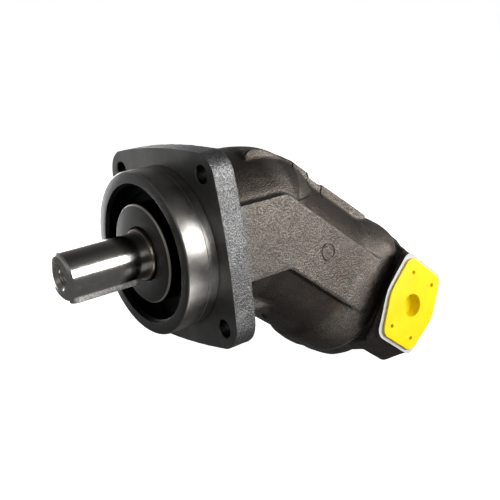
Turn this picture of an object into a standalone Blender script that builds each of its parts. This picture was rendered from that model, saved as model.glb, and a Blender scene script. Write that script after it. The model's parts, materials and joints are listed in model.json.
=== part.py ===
"""Bent-axis axial piston pump, size 63 class, built as an assembly of separate solids.

The origin is the centre of the mounting flange's front face, on the drive shaft's axis.
The shaft points along -X and the casing lies along +X.  The rotating cylinder block turns
about a second axis, which leaves the knee point on the shaft axis 40 degrees downwards.
Sizes are in millimetres and are multiplied by MM where they become coordinates.
"""
import math

import bmesh
import bpy
from mathutils import Matrix, Vector

MM = 0.001
GAP = 0.3                      # clearance between touching pieces
BEND = math.radians(40.0)      # angle between the shaft axis and the block axis
KNEE = 68.6                    # distance from the flange face to the knee point

# Mounting end: ISO four-bolt flange with a 125 mm pilot.
FLANGE_HALF = 75.0
FLANGE_BULGE = 3.0             # how much further out the sides are at their middle
FLANGE_CORNER = 15.0
FLANGE_THICK = 18.0
BOLT_PITCH = 56.57             # 160 mm pitch circle, at 45 degrees
BOLT_HOLE_R = 6.75
PILOT_R = 62.5
PILOT_LENGTH = 25.8
FRONT_BORE_R = 51.6

# Casting.
BARREL_R = 58.0
BAND_Y = 60.5                  # half distance between the two flat side bands
BAND_HALF_SHAFT = 28.6
BAND_HALF_BENT = 23.5
PAD_HALF_WIDTH = 30.0
KEEL_HALF_WIDTH = 29.5
KEEL_SLOPE = 7.0               # width of the lower pad's sloping edges
PAD_TOP = 58.5                 # height of the upper pad above the block axis
PAD_BOTTOM = 58.6              # depth of the lower pad below the block axis
PAD_LEVEL = 67.0               # upper pad's height over the neck, above the shaft axis
KEEL_LEVEL = 71.0              # lower pad's depth under the neck, below the shaft axis
CAVITY_R = 46.0
COLLAR_HALF = 60.7
COLLAR_CORNERS = (38.0, 55.0)  # corner radii above and below
COLLAR_START = 109.5
PARTING = 115.0                # joint between housing and port plate, from the knee

# Port plate.
PLATE_END = 158.0
FRONT_HALF = 58.0
FRONT_CORNERS = (42.0, 53.0)
SEAT = 127.0                   # where the clamping screws' heads rest
CORE_R = 46.0
CORE_EDGE = 6.0
SPIGOT_START = 107.0
PORT_U = 131.8                 # port centres, from the knee
PORT_FACE = 78.0               # port faces' distance from the middle plane
PORT_R = 11.0
PORT_HALF_HEIGHT = 36.5
PORT_HALF_MID = 31.0
PORT_HALF_END = 21.5
PORT_MID_ROUND = 30.0
PORT_END_ROUND = 8.0
PORT_BOLT_U = 12.8
PORT_BOLT_W = 24.0
PORT_DRAFT = ((78.0, 0.0), (75.0, 0.0), (50.0, -9.5), (30.0, -5.5))
COVER_INSET = 2.8
COVER_THICK = 2.0
SCREW_OFFSET = 37.5

# Drive shaft and its bearings.
SHAFT_R = 17.5
SHAFT_END = -92.3
KEY_WIDTH = 10.0
KEY_HEIGHT = 8.0
KEY_START = -88.0
KEY_END = -32.0
JOURNAL_FRONT_R = 20.0
JOURNAL_REAR_R = 22.2
CUP_R = 42.5
ROLLER_R = 4.0
ROLLER_MID_R = 31.0
ROLLER_COUNT = 12
ROLLER_TILT = math.radians(12.0)
DRIVE_FLANGE_R = 38.0
DRIVE_FLANGE_FACE = 55.0

# Rotating group.
PISTON_COUNT = 7
BALL_R = 7.5
BALL_PITCH_R = 25.0            # pistons' pitch circle in the block
SOCKET_PITCH_R = 28.0          # ball sockets' pitch circle in the drive flange
BALL_PARKED = 18.0             # inner dead centre: 28 mm x sin 40 degrees
PISTON_LENGTH = 61.0
BLOCK_START = 29.0
BLOCK_END = 93.0
BLOCK_R = 39.5
BORE_R = 9.0
LENS_START = BLOCK_END + 0.4
LENS_END = SPIGOT_START - GAP
LENS_R = 38.0
LENS_CURVE = 150.0             # radius of the spherical sealing face

SEGMENTS = 24
FINE_SEGMENTS = 32


def frame_along(z_axis, x_axis, origin=(0, 0, 0)):
    """Matrix whose local Z runs along z_axis and local X along x_axis, origin in mm."""
    z = Vector(z_axis).normalized()
    x = Vector(x_axis).normalized()
    y = z.cross(x)
    rotation = Matrix((x, y, z)).transposed().to_4x4()
    return Matrix.Translation(Vector(origin) * MM) @ rotation


U_AXIS = Vector((math.cos(BEND), 0, -math.sin(BEND)))
W_AXIS = Vector((math.sin(BEND), 0, math.cos(BEND)))
KNEE_POINT = Vector((KNEE, 0, 0))
SHAFT = frame_along((1, 0, 0), (0, 0, -1))                   # turned pieces on the shaft
BENT = frame_along(U_AXIS, -W_AXIS, KNEE_POINT)              # turned pieces on the block
SIDE = frame_along((0, -1, 0), (1, 0, 0))                    # outlines seen from the side
BENT_SIDE = frame_along((0, -1, 0), U_AXIS, KNEE_POINT)      # port outlines
BENT_TOP = frame_along(W_AXIS, U_AXIS, KNEE_POINT)           # pad outlines from above


def clear_scene():
    for obj in list(bpy.data.objects):
        bpy.data.objects.remove(obj, do_unlink=True)


def new_collection(name):
    collection = bpy.data.collections.new(name)
    bpy.context.scene.collection.children.link(collection)
    return collection


def make_material(name, colour, roughness, metallic):
    material = bpy.data.materials.new(name)
    material.use_nodes = True
    shader = material.node_tree.nodes["Principled BSDF"]
    shader.inputs["Base Color"].default_value = (*colour, 1.0)
    shader.inputs["Roughness"].default_value = roughness
    shader.inputs["Metallic"].default_value = metallic
    return material


clear_scene()
PARTS = new_collection("axial_piston_pump")
CUTTERS = new_collection("cutters")
CAST = make_material("cast_iron", (0.075, 0.068, 0.062), 0.6, 0.7)
STEEL = make_material("ground_steel", (0.45, 0.43, 0.40), 0.25, 1.0)
DARK_STEEL = make_material("dark_steel", (0.10, 0.10, 0.105), 0.4, 0.9)
BRONZE = make_material("bronze", (0.45, 0.33, 0.20), 0.35, 1.0)
RUBBER = make_material("rubber", (0.02, 0.02, 0.02), 0.6, 0.0)
YELLOW = make_material("yellow_plastic", (0.90, 0.76, 0.01), 0.4, 0.0)


def place(name, mesh, frame, material=None):
    """Link a mesh as a part, or as a cutter where it has no material."""
    obj = bpy.data.objects.new(name, mesh)
    obj.matrix_world = frame
    if material is None:
        CUTTERS.objects.link(obj)
        obj.display_type = 'WIRE'
        obj.hide_render = True
        return obj
    PARTS.objects.link(obj)
    mesh.materials.append(material)
    return obj


def settle(obj):
    """Replace an object's modifiers or curve by the mesh they make, welded, faces out."""
    graph = bpy.context.evaluated_depsgraph_get()
    mesh = bpy.data.meshes.new_from_object(obj.evaluated_get(graph))
    work = bmesh.new()
    work.from_mesh(mesh)
    bmesh.ops.remove_doubles(work, verts=work.verts, dist=1e-6)
    bmesh.ops.recalc_face_normals(work, faces=work.faces)
    work.to_mesh(mesh)
    work.free()
    return mesh


def turned(name, profile, frame, material=None, steps=SEGMENTS):
    """Solid turned about local Z from (distance along the axis, radius) points."""
    closed = profile[0][1] > 0
    points = [(radius * MM, 0, along * MM) for along, radius in profile]
    edges = [(i, i + 1) for i in range(len(points) - 1)]
    if closed:
        edges.append((len(points) - 1, 0))
    mesh = bpy.data.meshes.new(name)
    mesh.from_pydata(points, edges, [])
    blank = place(name + "_profile", mesh, Matrix.Identity(4))
    screw = blank.modifiers.new("turn", 'SCREW')
    screw.steps = steps
    screw.render_steps = steps
    screw.use_merge_vertices = True
    screw.merge_threshold = 0.00001
    solid = place(name, settle(blank), frame, material)
    bpy.data.objects.remove(blank, do_unlink=True)
    return solid


def ring(name, inner, outer, start, end, frame, material=None, steps=SEGMENTS):
    profile = [(start, inner), (start, outer), (end, outer), (end, inner)]
    return turned(name, profile, frame, material, steps)


def rod(name, radius, start, end, frame, offset=(0, 0), steps=SEGMENTS, end_radius=None):
    """Cylinder or cone along local Z, used for joining and cutting."""
    work = bmesh.new()
    last = radius if end_radius is None else end_radius
    shift = Matrix.Translation(Vector((offset[0], offset[1], (start + end) / 2)) * MM)
    bmesh.ops.create_cone(work, cap_ends=True, segments=steps, radius1=radius * MM,
                          radius2=last * MM, depth=(end - start) * MM, matrix=shift)
    mesh = bpy.data.meshes.new(name)
    work.to_mesh(mesh)
    work.free()
    return place(name, mesh, frame)


def block(name, size, centre, frame, material=None, bevel=0.0):
    work = bmesh.new()
    bmesh.ops.create_cube(work, size=1.0)
    bmesh.ops.scale(work, vec=Vector(size) * MM, verts=work.verts)
    bmesh.ops.translate(work, vec=Vector(centre) * MM, verts=work.verts)
    mesh = bpy.data.meshes.new(name)
    work.to_mesh(mesh)
    work.free()
    solid = place(name, mesh, frame, material)
    if bevel:
        edge = solid.modifiers.new("round", 'BEVEL')
        edge.width = bevel * MM
        edge.segments = 3
    return solid


def ball(name, radius, centre, frame, segments=10):
    work = bmesh.new()
    bmesh.ops.create_uvsphere(work, u_segments=segments, v_segments=segments // 2,
                              radius=radius * MM,
                              matrix=Matrix.Translation(Vector(centre) * MM))
    mesh = bpy.data.meshes.new(name)
    work.to_mesh(mesh)
    work.free()
    return place(name, mesh, frame)


def arc(centre, radius, first, last, count):
    """Points on an arc, angles in degrees."""
    step = (last - first) / (count - 1)
    angles = [math.radians(first + step * i) for i in range(count)]
    return [(centre[0] + radius * math.cos(a), centre[1] + radius * math.sin(a)) for a in angles]


def round_corners(points, radii, count=5):
    """Replace each corner of a closed outline by an arc, of one radius or one for each."""
    if not hasattr(radii, "__len__"):
        radii = [radii] * len(points)
    result = []
    for i, (corner, radius) in enumerate(zip(points, radii)):
        here = Vector(corner)
        to_last = (Vector(points[i - 1]) - here).normalized()
        to_next = (Vector(points[(i + 1) % len(points)]) - here).normalized()
        half = to_last.angle(to_next) / 2
        centre = here + (to_last + to_next).normalized() * (radius / math.sin(half))
        start = (here + to_last * (radius / math.tan(half)) - centre).normalized()
        finish = (here + to_next * (radius / math.tan(half)) - centre).normalized()
        for step in range(count):
            spoke = start.slerp(finish, step / (count - 1))
            result.append(tuple(centre + spoke * radius))
    return result


def plate(name, outline, low, high, frame, material=None):
    """Flat outline extruded along local Z from low to high."""
    curve = bpy.data.curves.new(name, 'CURVE')
    curve.dimensions = '2D'
    curve.fill_mode = 'BOTH'
    curve.extrude = (high - low) / 2 * MM
    spline = curve.splines.new('POLY')
    spline.points.add(len(outline) - 1)
    for point, (x, y) in zip(spline.points, outline):
        point.co = (x * MM, y * MM, 0, 1)
    spline.use_cyclic_u = True
    guide = bpy.data.objects.new(name + "_outline", curve)
    CUTTERS.objects.link(guide)
    mesh = settle(guide)
    mesh.transform(Matrix.Translation((0, 0, (low + high) / 2 * MM)))
    bpy.data.objects.remove(guide, do_unlink=True)
    return place(name, mesh, frame, material)


def loft(name, sections, frame):
    """Solid through outlines of equal length, each (height, outline) in mm."""
    work = bmesh.new()
    rings = [[work.verts.new(Vector((x, y, height)) * MM) for x, y in outline]
             for height, outline in sections]
    work.faces.new(rings[0])
    work.faces.new(rings[-1])
    for low, high in zip(rings, rings[1:]):
        for i in range(len(low)):
            work.faces.new((low[i - 1], low[i], high[i], high[i - 1]))
    bmesh.ops.recalc_face_normals(work, faces=work.faces)
    bmesh.ops.triangulate(work, faces=work.faces)
    mesh = bpy.data.meshes.new(name)
    work.to_mesh(mesh)
    work.free()
    return place(name, mesh, frame)


def boolean(target, tools, operation):
    for tool in tools:
        step = target.modifiers.new(tool.name, 'BOOLEAN')
        step.operation = operation
        step.object = tool
        step.solver = 'EXACT'


def join(target, *tools):
    boolean(target, tools, 'UNION')


def cut(target, *tools):
    boolean(target, tools, 'DIFFERENCE')


# ---------------------------------------------------------------- casing

def flange_outline():
    """Square flange with slightly convex sides and round corners."""
    corner = FLANGE_HALF - FLANGE_BULGE
    rounding = arc((corner - FLANGE_CORNER, corner - FLANGE_CORNER), FLANGE_CORNER, 80, 10, 4)
    near_middle, near_corner = (22, FLANGE_HALF - 0.6), (42, FLANGE_HALF - 2.3)
    quarter = [(0, FLANGE_HALF), near_middle, near_corner] + rounding
    quarter += [near_corner[::-1], near_middle[::-1]]
    outline = []
    for turn in range(4):
        angle = -math.pi / 2 * turn
        for x, y in quarter:
            outline.append((x * math.cos(angle) - y * math.sin(angle),
                            x * math.sin(angle) + y * math.cos(angle)))
    return outline


def rounded_square(half, radii):
    """Square round the block axis, with one corner radius above and another below."""
    corners = [(half, half), (-half, half), (-half, -half), (half, -half)]
    above = [point for point in round_corners(corners, radii[0], 6) if point[0] < 0]
    below = [point for point in round_corners(corners, radii[1], 6) if point[0] > 0]
    return below[:6] + above + below[6:]


def bent_point(u, w):
    """Point of the side view, (x, z), from its place along and across the block axis."""
    place_xz = KNEE_POINT + U_AXIS * u + W_AXIS * w
    return (place_xz.x, place_xz.z)


def band_outline():
    """Flat side band: level behind the flange, then bent down with the barrel."""
    level = BAND_HALF_SHAFT
    slope = BAND_HALF_BENT
    return [(10, -level), (66, -level - 2), bent_point(18, -slope - 1), bent_point(82, -slope),
            bent_point(84, slope), bent_point(6, slope + 2), (72, level), (10, level)]


def pad_outline():
    """Upper pad: over the neck, round the knee and down the barrel."""
    crest = [(10, PAD_LEVEL + 0.5), (50, PAD_LEVEL), (60, PAD_LEVEL - 1.2), bent_point(-40, 49)]
    crest += [bent_point(-30, 52.5), bent_point(-20, 54.7), bent_point(-10, 56.6)]
    step = [bent_point(0, PAD_TOP), bent_point(15, PAD_TOP), bent_point(19, PAD_TOP - 2.5),
            bent_point(31, PAD_TOP - 2.5), bent_point(37, PAD_TOP - 0.8)]
    end = [bent_point(65, PAD_TOP), bent_point(90, PAD_TOP), bent_point(94, PAD_TOP - 3.5),
           bent_point(95, 44)]
    return [(10, 34)] + crest + step + end + [bent_point(0, 34)]


def keel_outline(drop):
    """Lower pad: under the neck from the flange, then a short way down the barrel."""
    low = drop - PAD_BOTTOM
    turn = [(10, drop - KEEL_LEVEL), (61, drop - KEEL_LEVEL), bent_point(42.5, low)]
    end = [bent_point(70, low), bent_point(75.5, low + 3.5), bent_point(77.5, -44)]
    return [(10, -34)] + turn + end + [bent_point(30, -34)]


def keel(drop):
    """Lower pad, its long edges sloping by drop."""
    full = KEEL_HALF_WIDTH - KEEL_SLOPE
    sections = [(-KEEL_HALF_WIDTH, keel_outline(drop)), (-full, keel_outline(0)),
                (full, keel_outline(0)), (KEEL_HALF_WIDTH, keel_outline(drop))]
    return loft("bottom_pad", sections, SIDE)


def barrel_profile():
    """Outside of the barrel: straight, then flaring out to the collar."""
    return [(-3, 0), (-3, BARREL_R), (84, BARREL_R), (93, 59.6), (100, 60.8),
            (COLLAR_START + 1, COLLAR_HALF + 0.3), (COLLAR_START + 1, 0)]


def casting_shape(housing):
    """Join the outside forms of the casting to the flange."""
    neck = rod("neck", BARREL_R, 9, KNEE, SHAFT, steps=FINE_SEGMENTS)
    knee = ball("knee", BARREL_R + 0.05, (0, 0, 0), BENT, 24)
    barrel = turned("barrel", barrel_profile(), BENT, steps=FINE_SEGMENTS)
    band = plate("side_band", band_outline(), -BAND_Y, BAND_Y, SIDE)
    top_pad = plate("top_pad", pad_outline(), -PAD_HALF_WIDTH, PAD_HALF_WIDTH, SIDE)
    collar = plate("collar", rounded_square(COLLAR_HALF, COLLAR_CORNERS), COLLAR_START, PARTING,
                   BENT)
    join(housing, neck, knee, keel(5.0), barrel, band, top_pad, collar)


def pilot_profile():
    return [(-PILOT_LENGTH, 30), (-PILOT_LENGTH, PILOT_R - 1.2), (-PILOT_LENGTH + 1.2, PILOT_R),
            (-8.3, PILOT_R), (-8.0, PILOT_R - 0.4), (0, PILOT_R - 0.4), (4, PILOT_R - 0.4), (4, 30)]


def front_bore_profile():
    """Stepped bore for carrier, snap ring and both bearing cups, opened into the cavity."""
    snap = (FRONT_BORE_R, 54.0)
    return [(-30, 0), (-30, FRONT_BORE_R + 4.2), (-PILOT_LENGTH, FRONT_BORE_R + 1.2),
            (-PILOT_LENGTH + 1.2, snap[0]), (-12.9, snap[0]), (-12.9, snap[1]), (-10, snap[1]),
            (-10, snap[0]), (-2, snap[0]), (-2, CUP_R + GAP), (20.9, CUP_R + GAP), (20.9, 38),
            (22.7, 38), (22.7, CUP_R + GAP), (46, CUP_R + GAP), (46, CAVITY_R), (84, CAVITY_R),
            (84, 0)]


def drain_hole_profile(sign, surface):
    """Spotface and thread of a drain port, along the pad's normal."""
    outer = sign * (surface + 4)
    seat = sign * (surface - DRAIN_DEPTH)
    inner = sign * (CAVITY_R - 8)
    return [(inner, 0), (inner, 9.3), (seat, 9.3), (seat, 13.6), (outer, 13.6), (outer, 0)]


DRAIN_DEPTH = 6.5
DRAINS = (("top", 1, 6.0, PAD_TOP), ("bottom", -1, 44.0, PAD_BOTTOM))


def drain_frame(along):
    return frame_along(W_AXIS, U_AXIS, KNEE_POINT + U_AXIS * along)


def cut_casting(housing):
    cut(housing, turned("front_bore", front_bore_profile(), SHAFT, steps=FINE_SEGMENTS))
    bore = [(0, 0), (0, CAVITY_R), (PARTING + 4, CAVITY_R), (PARTING + 4, 0)]
    cut(housing, turned("block_cavity", bore, BENT, steps=FINE_SEGMENTS))
    for i, (x, y) in enumerate(corner_points(BOLT_PITCH, BOLT_PITCH)):
        cut(housing, rod("flange_hole_%d" % i, BOLT_HOLE_R, -5, 40, SHAFT, (x, y), 20))
    for i, (x, y) in enumerate(corner_points(SCREW_OFFSET, SCREW_OFFSET)):
        cut(housing, rod("tapped_hole_%d" % i, 5.3, 100, PARTING + 5, BENT, (x, y), 12))
    for name, sign, along, surface in DRAINS:
        profile = drain_hole_profile(sign, surface)
        cut(housing, turned(name + "_drain_hole", profile, drain_frame(along), steps=24))


def corner_points(x, y):
    return [(x, y), (-x, y), (-x, -y), (x, -y)]


def make_housing():
    housing = plate("housing", flange_outline(), 0, FLANGE_THICK, SHAFT, CAST)
    casting_shape(housing)
    join(housing, turned("pilot", pilot_profile(), SHAFT, steps=48))
    cut_casting(housing)


def port_outline(inset=0.0):
    """Barrel-sided six-cornered port pad, in the (u, w) plane."""
    tall = PORT_HALF_HEIGHT - inset
    mid = PORT_HALF_MID - inset
    end = PORT_HALF_END - inset
    points = [(mid, 0), (end, tall), (-end, tall), (-mid, 0), (-end, -tall), (end, -tall)]
    radii = [PORT_MID_ROUND if w == 0 else PORT_END_ROUND for _, w in points]
    return round_corners([(u + PORT_U, w) for u, w in points], radii, 5)


def kidney_outline(inner, outer, half_angle, middle):
    """Arc-shaped slot centred on the direction given in degrees."""
    out = arc((0, 0), outer, middle - half_angle, middle + half_angle, 11)
    back = arc((0, 0), inner, middle + half_angle, middle - half_angle, 9)
    return out + back


def make_port_plate():
    front = rounded_square(FRONT_HALF, FRONT_CORNERS)
    body = plate("port_plate", front, PARTING + GAP, SEAT, BENT, CAST)
    edge = [(PLATE_END - CORE_EDGE, CORE_R), (PLATE_END - 1.8, CORE_R - 1.8),
            (PLATE_END, CORE_R - CORE_EDGE)]
    core = turned("core", [(SEAT - 4, 0), (SEAT - 4, CORE_R)] + edge + [(PLATE_END, 0)], BENT,
                  steps=FINE_SEGMENTS)
    heights = [(-y, inset) for y, inset in PORT_DRAFT] + list(reversed(PORT_DRAFT))
    bosses = loft("port_bosses", [(y, port_outline(inset)) for y, inset in heights], BENT_SIDE)
    relief = block("collar_relief", (160, 2 * 64.0, 100), (0, 0, PARTING + GAP - 50), BENT)
    cut(bosses, relief)
    spigot = turned("spigot", spigot_profile(), BENT, steps=FINE_SEGMENTS)
    join(body, core, bosses, spigot)
    cut_port_plate(body)


def spigot_profile():
    """Centring spigot with a groove for the housing O-ring."""
    radius = CAVITY_R - 0.4
    groove = 42.6
    return [(SPIGOT_START, 0), (SPIGOT_START, radius), (109.2, radius), (109.2, groove),
            (112.4, groove), (112.4, radius), (PARTING + 3, radius), (PARTING + 3, 0)]


def cut_port_plate(body):
    for side, middle in ((1, 90), (-1, -90)):
        slot = kidney_outline(19.5, 30.5, 48, middle)
        cut(body, plate("plate_kidney_%d" % middle, slot, SPIGOT_START - 3, PORT_U, BENT))
        near, far = sorted((side * 24.0, side * (PORT_FACE + 4)))
        port = rod("port_bore_%d" % middle, PORT_R, near, far, BENT_SIDE, (PORT_U, 0), 20)
        cut(body, port)
        near, far = sorted((side * (PORT_FACE - 17), side * (PORT_FACE + 4)))
        for i, (x, y) in enumerate(corner_points(PORT_BOLT_U, PORT_BOLT_W)):
            name = "port_thread_%d_%d" % (middle, i)
            cut(body, rod(name, 4.3, near, far, BENT_SIDE, (PORT_U + x, y), 8))
    for i, (x, y) in enumerate(corner_points(SCREW_OFFSET, SCREW_OFFSET)):
        cut(body, rod("screw_hole_%d" % i, 5.3, 100, SEAT + 8, BENT, (x, y), 12))
        cut(body, rod("head_pocket_%d" % i, 8.6, SEAT - GAP, SEAT + 60, BENT, (x, y), 16))
    cut(body, rod("lens_pin_hole", 2.9, 100, 112.8, BENT, (-32, 0), 12))


def hex_socket(name, across, low, high, frame, offset):
    radius = across / math.sqrt(3)
    return rod(name, radius, low, high, frame, offset, 6)


def make_plate_screws():
    """Hexagon socket screws that clamp the port plate to the housing."""
    seat = SEAT
    profile = [(102, 0), (102, 4.9), (seat, 4.9), (seat, 7.9), (seat + 9.2, 7.9),
               (seat + 10, 7.1), (seat + 10, 0)]
    for i, (x, y) in enumerate(corner_points(SCREW_OFFSET, SCREW_OFFSET)):
        frame = BENT @ Matrix.Translation(Vector((x, y, 0)) * MM)
        screw = turned("port_plate_screw_%d" % (i + 1), profile, frame, DARK_STEEL, 12)
        cut(screw, hex_socket("socket_%d" % i, 8, seat + 4.5, seat + 14, frame, (0, 0)))


def make_port_covers():
    """Yellow transport covers: plate, blind plug in the port, four pins in the threads."""
    for name, side in (("left_port_cover", 1), ("right_port_cover", -1)):
        face = side * (PORT_FACE + GAP)
        outer = side * (PORT_FACE + GAP + COVER_THICK)
        cover = plate(name, port_outline(COVER_INSET), min(face, outer), max(face, outer),
                      BENT_SIDE, YELLOW)
        inner = side * (PORT_FACE - 8)
        low, high = sorted((inner, outer - side * 0.5))
        join(cover, rod(name + "_plug", PORT_R - 0.4, low, high, BENT_SIDE, (PORT_U, 0), 20))
        low, high = sorted((inner + side * 1.5, outer + side * 3))
        cut(cover, rod(name + "_recess", PORT_R - 1.6, low, high, BENT_SIDE, (PORT_U, 0), 20))
        for i, (x, y) in enumerate(corner_points(PORT_BOLT_U, PORT_BOLT_W)):
            centre = (PORT_U + x, y)
            low, high = sorted((side * (PORT_FACE - 5), outer - side * 0.5))
            join(cover, rod("%s_pin_%d" % (name, i), 3.8, low, high, BENT_SIDE, centre, 8))
            low, high = sorted((side * (PORT_FACE - 2.5), outer + side * 3))
            cut(cover, rod("%s_dimple_%d" % (name, i), 1.5, low, high, BENT_SIDE, centre, 8))


def make_drain_plugs():
    """Recessed plugs with sealing washers in the upper and lower drain ports."""
    for name, sign, along, surface in DRAINS:
        frame = drain_frame(along)
        seat = surface - DRAIN_DEPTH
        body = [(seat - 3, 0), (seat - 3, 8.2), (seat - 2.2, 9.0), (seat + 1.7, 9.0),
                (seat + 1.7, 12.6), (seat + 5.6, 12.6), (seat + 6.2, 12.0), (seat + 6.2, 0)]
        plug = turned(name + "_drain_plug", [(sign * z, r) for z, r in body], frame,
                      DARK_STEEL, 24)
        low, high = sorted((sign * (seat - 0.5), sign * (seat + 9)))
        cut(plug, hex_socket(name + "_plug_socket", 10, low, high, frame, (0, 0)))
        low, high = sorted((sign * (seat + GAP), sign * (seat + 1.4)))
        ring(name + "_drain_washer", 9.3, 12.4, low, high, frame, BRONZE, 24)


# ---------------------------------------------------------------- shaft and bearings

def make_shaft():
    profile = [(SHAFT_END, 0), (SHAFT_END, SHAFT_R - 2), (SHAFT_END + 2, SHAFT_R),
               (-12.0, SHAFT_R), (-12.0, JOURNAL_FRONT_R), (22.2, JOURNAL_FRONT_R),
               (22.2, JOURNAL_REAR_R), (44, JOURNAL_REAR_R), (44, DRIVE_FLANGE_R - 2),
               (46, DRIVE_FLANGE_R), (DRIVE_FLANGE_FACE, DRIVE_FLANGE_R), (DRIVE_FLANGE_FACE, 11),
               (66, 11), (66, 0)]
    shaft = turned("drive_shaft", profile, SHAFT, STEEL, FINE_SEGMENTS)
    thread = [(SHAFT_END - 3, 0), (SHAFT_END - 3, 12.4), (SHAFT_END, 9.4), (SHAFT_END + 2.4, 7.0),
              (SHAFT_END + 32, 7.0), (SHAFT_END + 36, 0)]
    cut(shaft, turned("centre_thread", thread, SHAFT, steps=24))
    cut(shaft, key_solid("keyway", 0.2, 0.3, None))
    for i, (x, y) in enumerate(ring_points(SOCKET_PITCH_R, PISTON_COUNT)):
        cut(shaft, ball("socket_%d" % i, BALL_R + 0.3, (x, y, DRIVE_FLANGE_FACE + 2), SHAFT))
    cut(shaft, ball("centre_socket", BALL_R + 0.5, (0, 0, KNEE), SHAFT, 12))


def ring_points(radius, count, first=math.pi):
    """Points spaced round a circle, the first at the top (local -X)."""
    angles = [first + 2 * math.pi * i / count for i in range(count)]
    return [(radius * math.cos(a), radius * math.sin(a)) for a in angles]


def key_solid(name, side_gap, depth_gap, material):
    """Round-ended key under the shaft; with gaps it is the keyway's cutter."""
    half = KEY_WIDTH / 2 + side_gap
    ends = (KEY_START - side_gap + half, KEY_END + side_gap - half)
    outline = arc((ends[0], 0), half, 270, 90, 9) + arc((ends[1], 0), half, 90, -90, 9)
    low = -(SHAFT_R + KEY_HEIGHT - 5.0) - (4 if side_gap else 0)
    high = -(SHAFT_R - 5.0) + depth_gap
    frame = frame_along((0, 0, 1), (1, 0, 0))
    return plate(name, outline, low, high, frame, material)


def make_sealing():
    """Everything that closes the front of the casing round the shaft."""
    groove = [(-28.3, SHAFT_R + 0.3), (-28.3, 19.0), (-27.6, 19.6), (-27.0, 19.6), (-26.7, 19.0),
              (-26.3, 19.6), (-14, 19.6), (-14, SHAFT_R + 0.3)]
    turned("wear_sleeve", groove, SHAFT, BRONZE)
    carrier = [(-25.5, 21.2), (-25.5, 36.6), (-24.3, 37.8), (-10, 37.8), (-10, FRONT_BORE_R - GAP),
               (-8.2, FRONT_BORE_R - GAP), (-8.2, 48.1), (-4.6, 48.1), (-4.6, FRONT_BORE_R - GAP),
               (-2.3, FRONT_BORE_R - GAP), (-2.3, 27), (-23.5, 27), (-23.5, 21.2)]
    turned("seal_carrier", carrier, SHAFT, DARK_STEEL, FINE_SEGMENTS)
    turned("carrier_o_ring", o_ring_profile(49.9, -6.4, 1.2), SHAFT, RUBBER)
    lip = [(-23.2, 20.4), (-23.2, 26.7), (-15.5, 26.7), (-15.5, 25.2), (-21.6, 25.2), (-21.6, 22.4),
           (-17, 21.6), (-17.6, 20.0), (-19.4, 20.0)]
    turned("shaft_seal", lip, SHAFT, RUBBER)
    snap = ring("snap_ring", 45.0, 53.6, -12.6, -10.3, SHAFT, STEEL, FINE_SEGMENTS)
    cut(snap, block("snap_gap", (20, 14, 8), (50, 0, -11.5), SHAFT))
    ring("shim_ring", 37.5, CUP_R, -1.7, 0.8, SHAFT, STEEL)


def o_ring_profile(radius, along, thick, points=6):
    step = 2 * math.pi / points
    return [(along + thick * math.sin(step * i), radius + thick * math.cos(step * i))
            for i in range(points)]


def taper(middle, radius, direction):
    """Radius of a surface parallel to the rollers, as a function of the place along."""
    slope = math.tan(ROLLER_TILT) * direction
    return lambda along: radius + slope * (along - middle)


def make_bearing(name, start, bore, direction):
    """Taper roller bearing: cup, cone, and rollers joined by their cage."""
    width = 19.5
    middle = start + width / 2
    track = (ROLLER_R + 0.4) / math.cos(ROLLER_TILT)
    cup = taper(middle, ROLLER_MID_R + track, direction)
    cone = taper(middle, ROLLER_MID_R - track, direction)
    low, high = start, start + width
    turned(name + "_cup", [(low, CUP_R), (high, CUP_R), (high, cup(high)), (low, cup(low))],
           SHAFT, STEEL)
    turned(name + "_cone", [(low, bore), (high, bore), (high, cone(high)), (low, cone(low))],
           SHAFT, STEEL)
    cage_mid = taper(middle, ROLLER_MID_R, direction)
    reach = 8.6
    thin = 1.3
    ends = (middle - reach, middle + reach)
    cage = turned(name + "_rollers", [(ends[0], cage_mid(ends[0]) - thin),
                                      (ends[1], cage_mid(ends[1]) - thin),
                                      (ends[1], cage_mid(ends[1]) + thin),
                                      (ends[0], cage_mid(ends[0]) + thin)], SHAFT, BRONZE, 24)
    for i in range(ROLLER_COUNT):
        spin = Matrix.Rotation(2 * math.pi * i / ROLLER_COUNT, 4, 'Z')
        tilt = Matrix.Rotation(direction * ROLLER_TILT, 4, 'Y')
        seat = Matrix.Translation(Vector((ROLLER_MID_R, 0, middle)) * MM)
        frame = SHAFT @ spin @ seat @ tilt
        join(cage, rod("%s_roller_%d" % (name, i), ROLLER_R, -7.2, 7.2, frame, steps=6))


# ---------------------------------------------------------------- rotating group

def make_retaining_plate():
    """Plate over the ball sockets, with its countersunk screws."""
    low, high = DRIVE_FLANGE_FACE + GAP, DRIVE_FLANGE_FACE + 2.8
    retainer = ring("retaining_plate", 11.4, DRIVE_FLANGE_R, low, high, SHAFT, STEEL)
    shaft = bpy.data.objects["drive_shaft"]
    for i, (x, y) in enumerate(ring_points(SOCKET_PITCH_R, PISTON_COUNT)):
        cut(retainer, rod("retainer_hole_%d" % i, 6.9, low - 3, high + 3, SHAFT, (x, y), 12))
    half_step = math.pi + math.pi / PISTON_COUNT
    head = [(high - 9.5, 0), (high - 9.5, 2.0), (high - 2.2, 2.0), (high - 0.3, 3.6),
            (high - 0.3, 0)]
    hole = [(high - 10, 0), (high - 10, 2.3), (high - 2.3, 2.3), (high + 1.2, 5.8),
            (high + 1.2, 0)]
    for i, (x, y) in enumerate(ring_points(32.5, PISTON_COUNT, half_step)):
        frame = SHAFT @ Matrix.Translation(Vector((x, y, 0)) * MM)
        clearance = turned("retainer_screw_hole_%d" % i, hole, frame, steps=8)
        cut(retainer, clearance)
        cut(shaft, clearance)
        turned("retainer_screw_%d" % (i + 1), head, frame, DARK_STEEL, 8)


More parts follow.
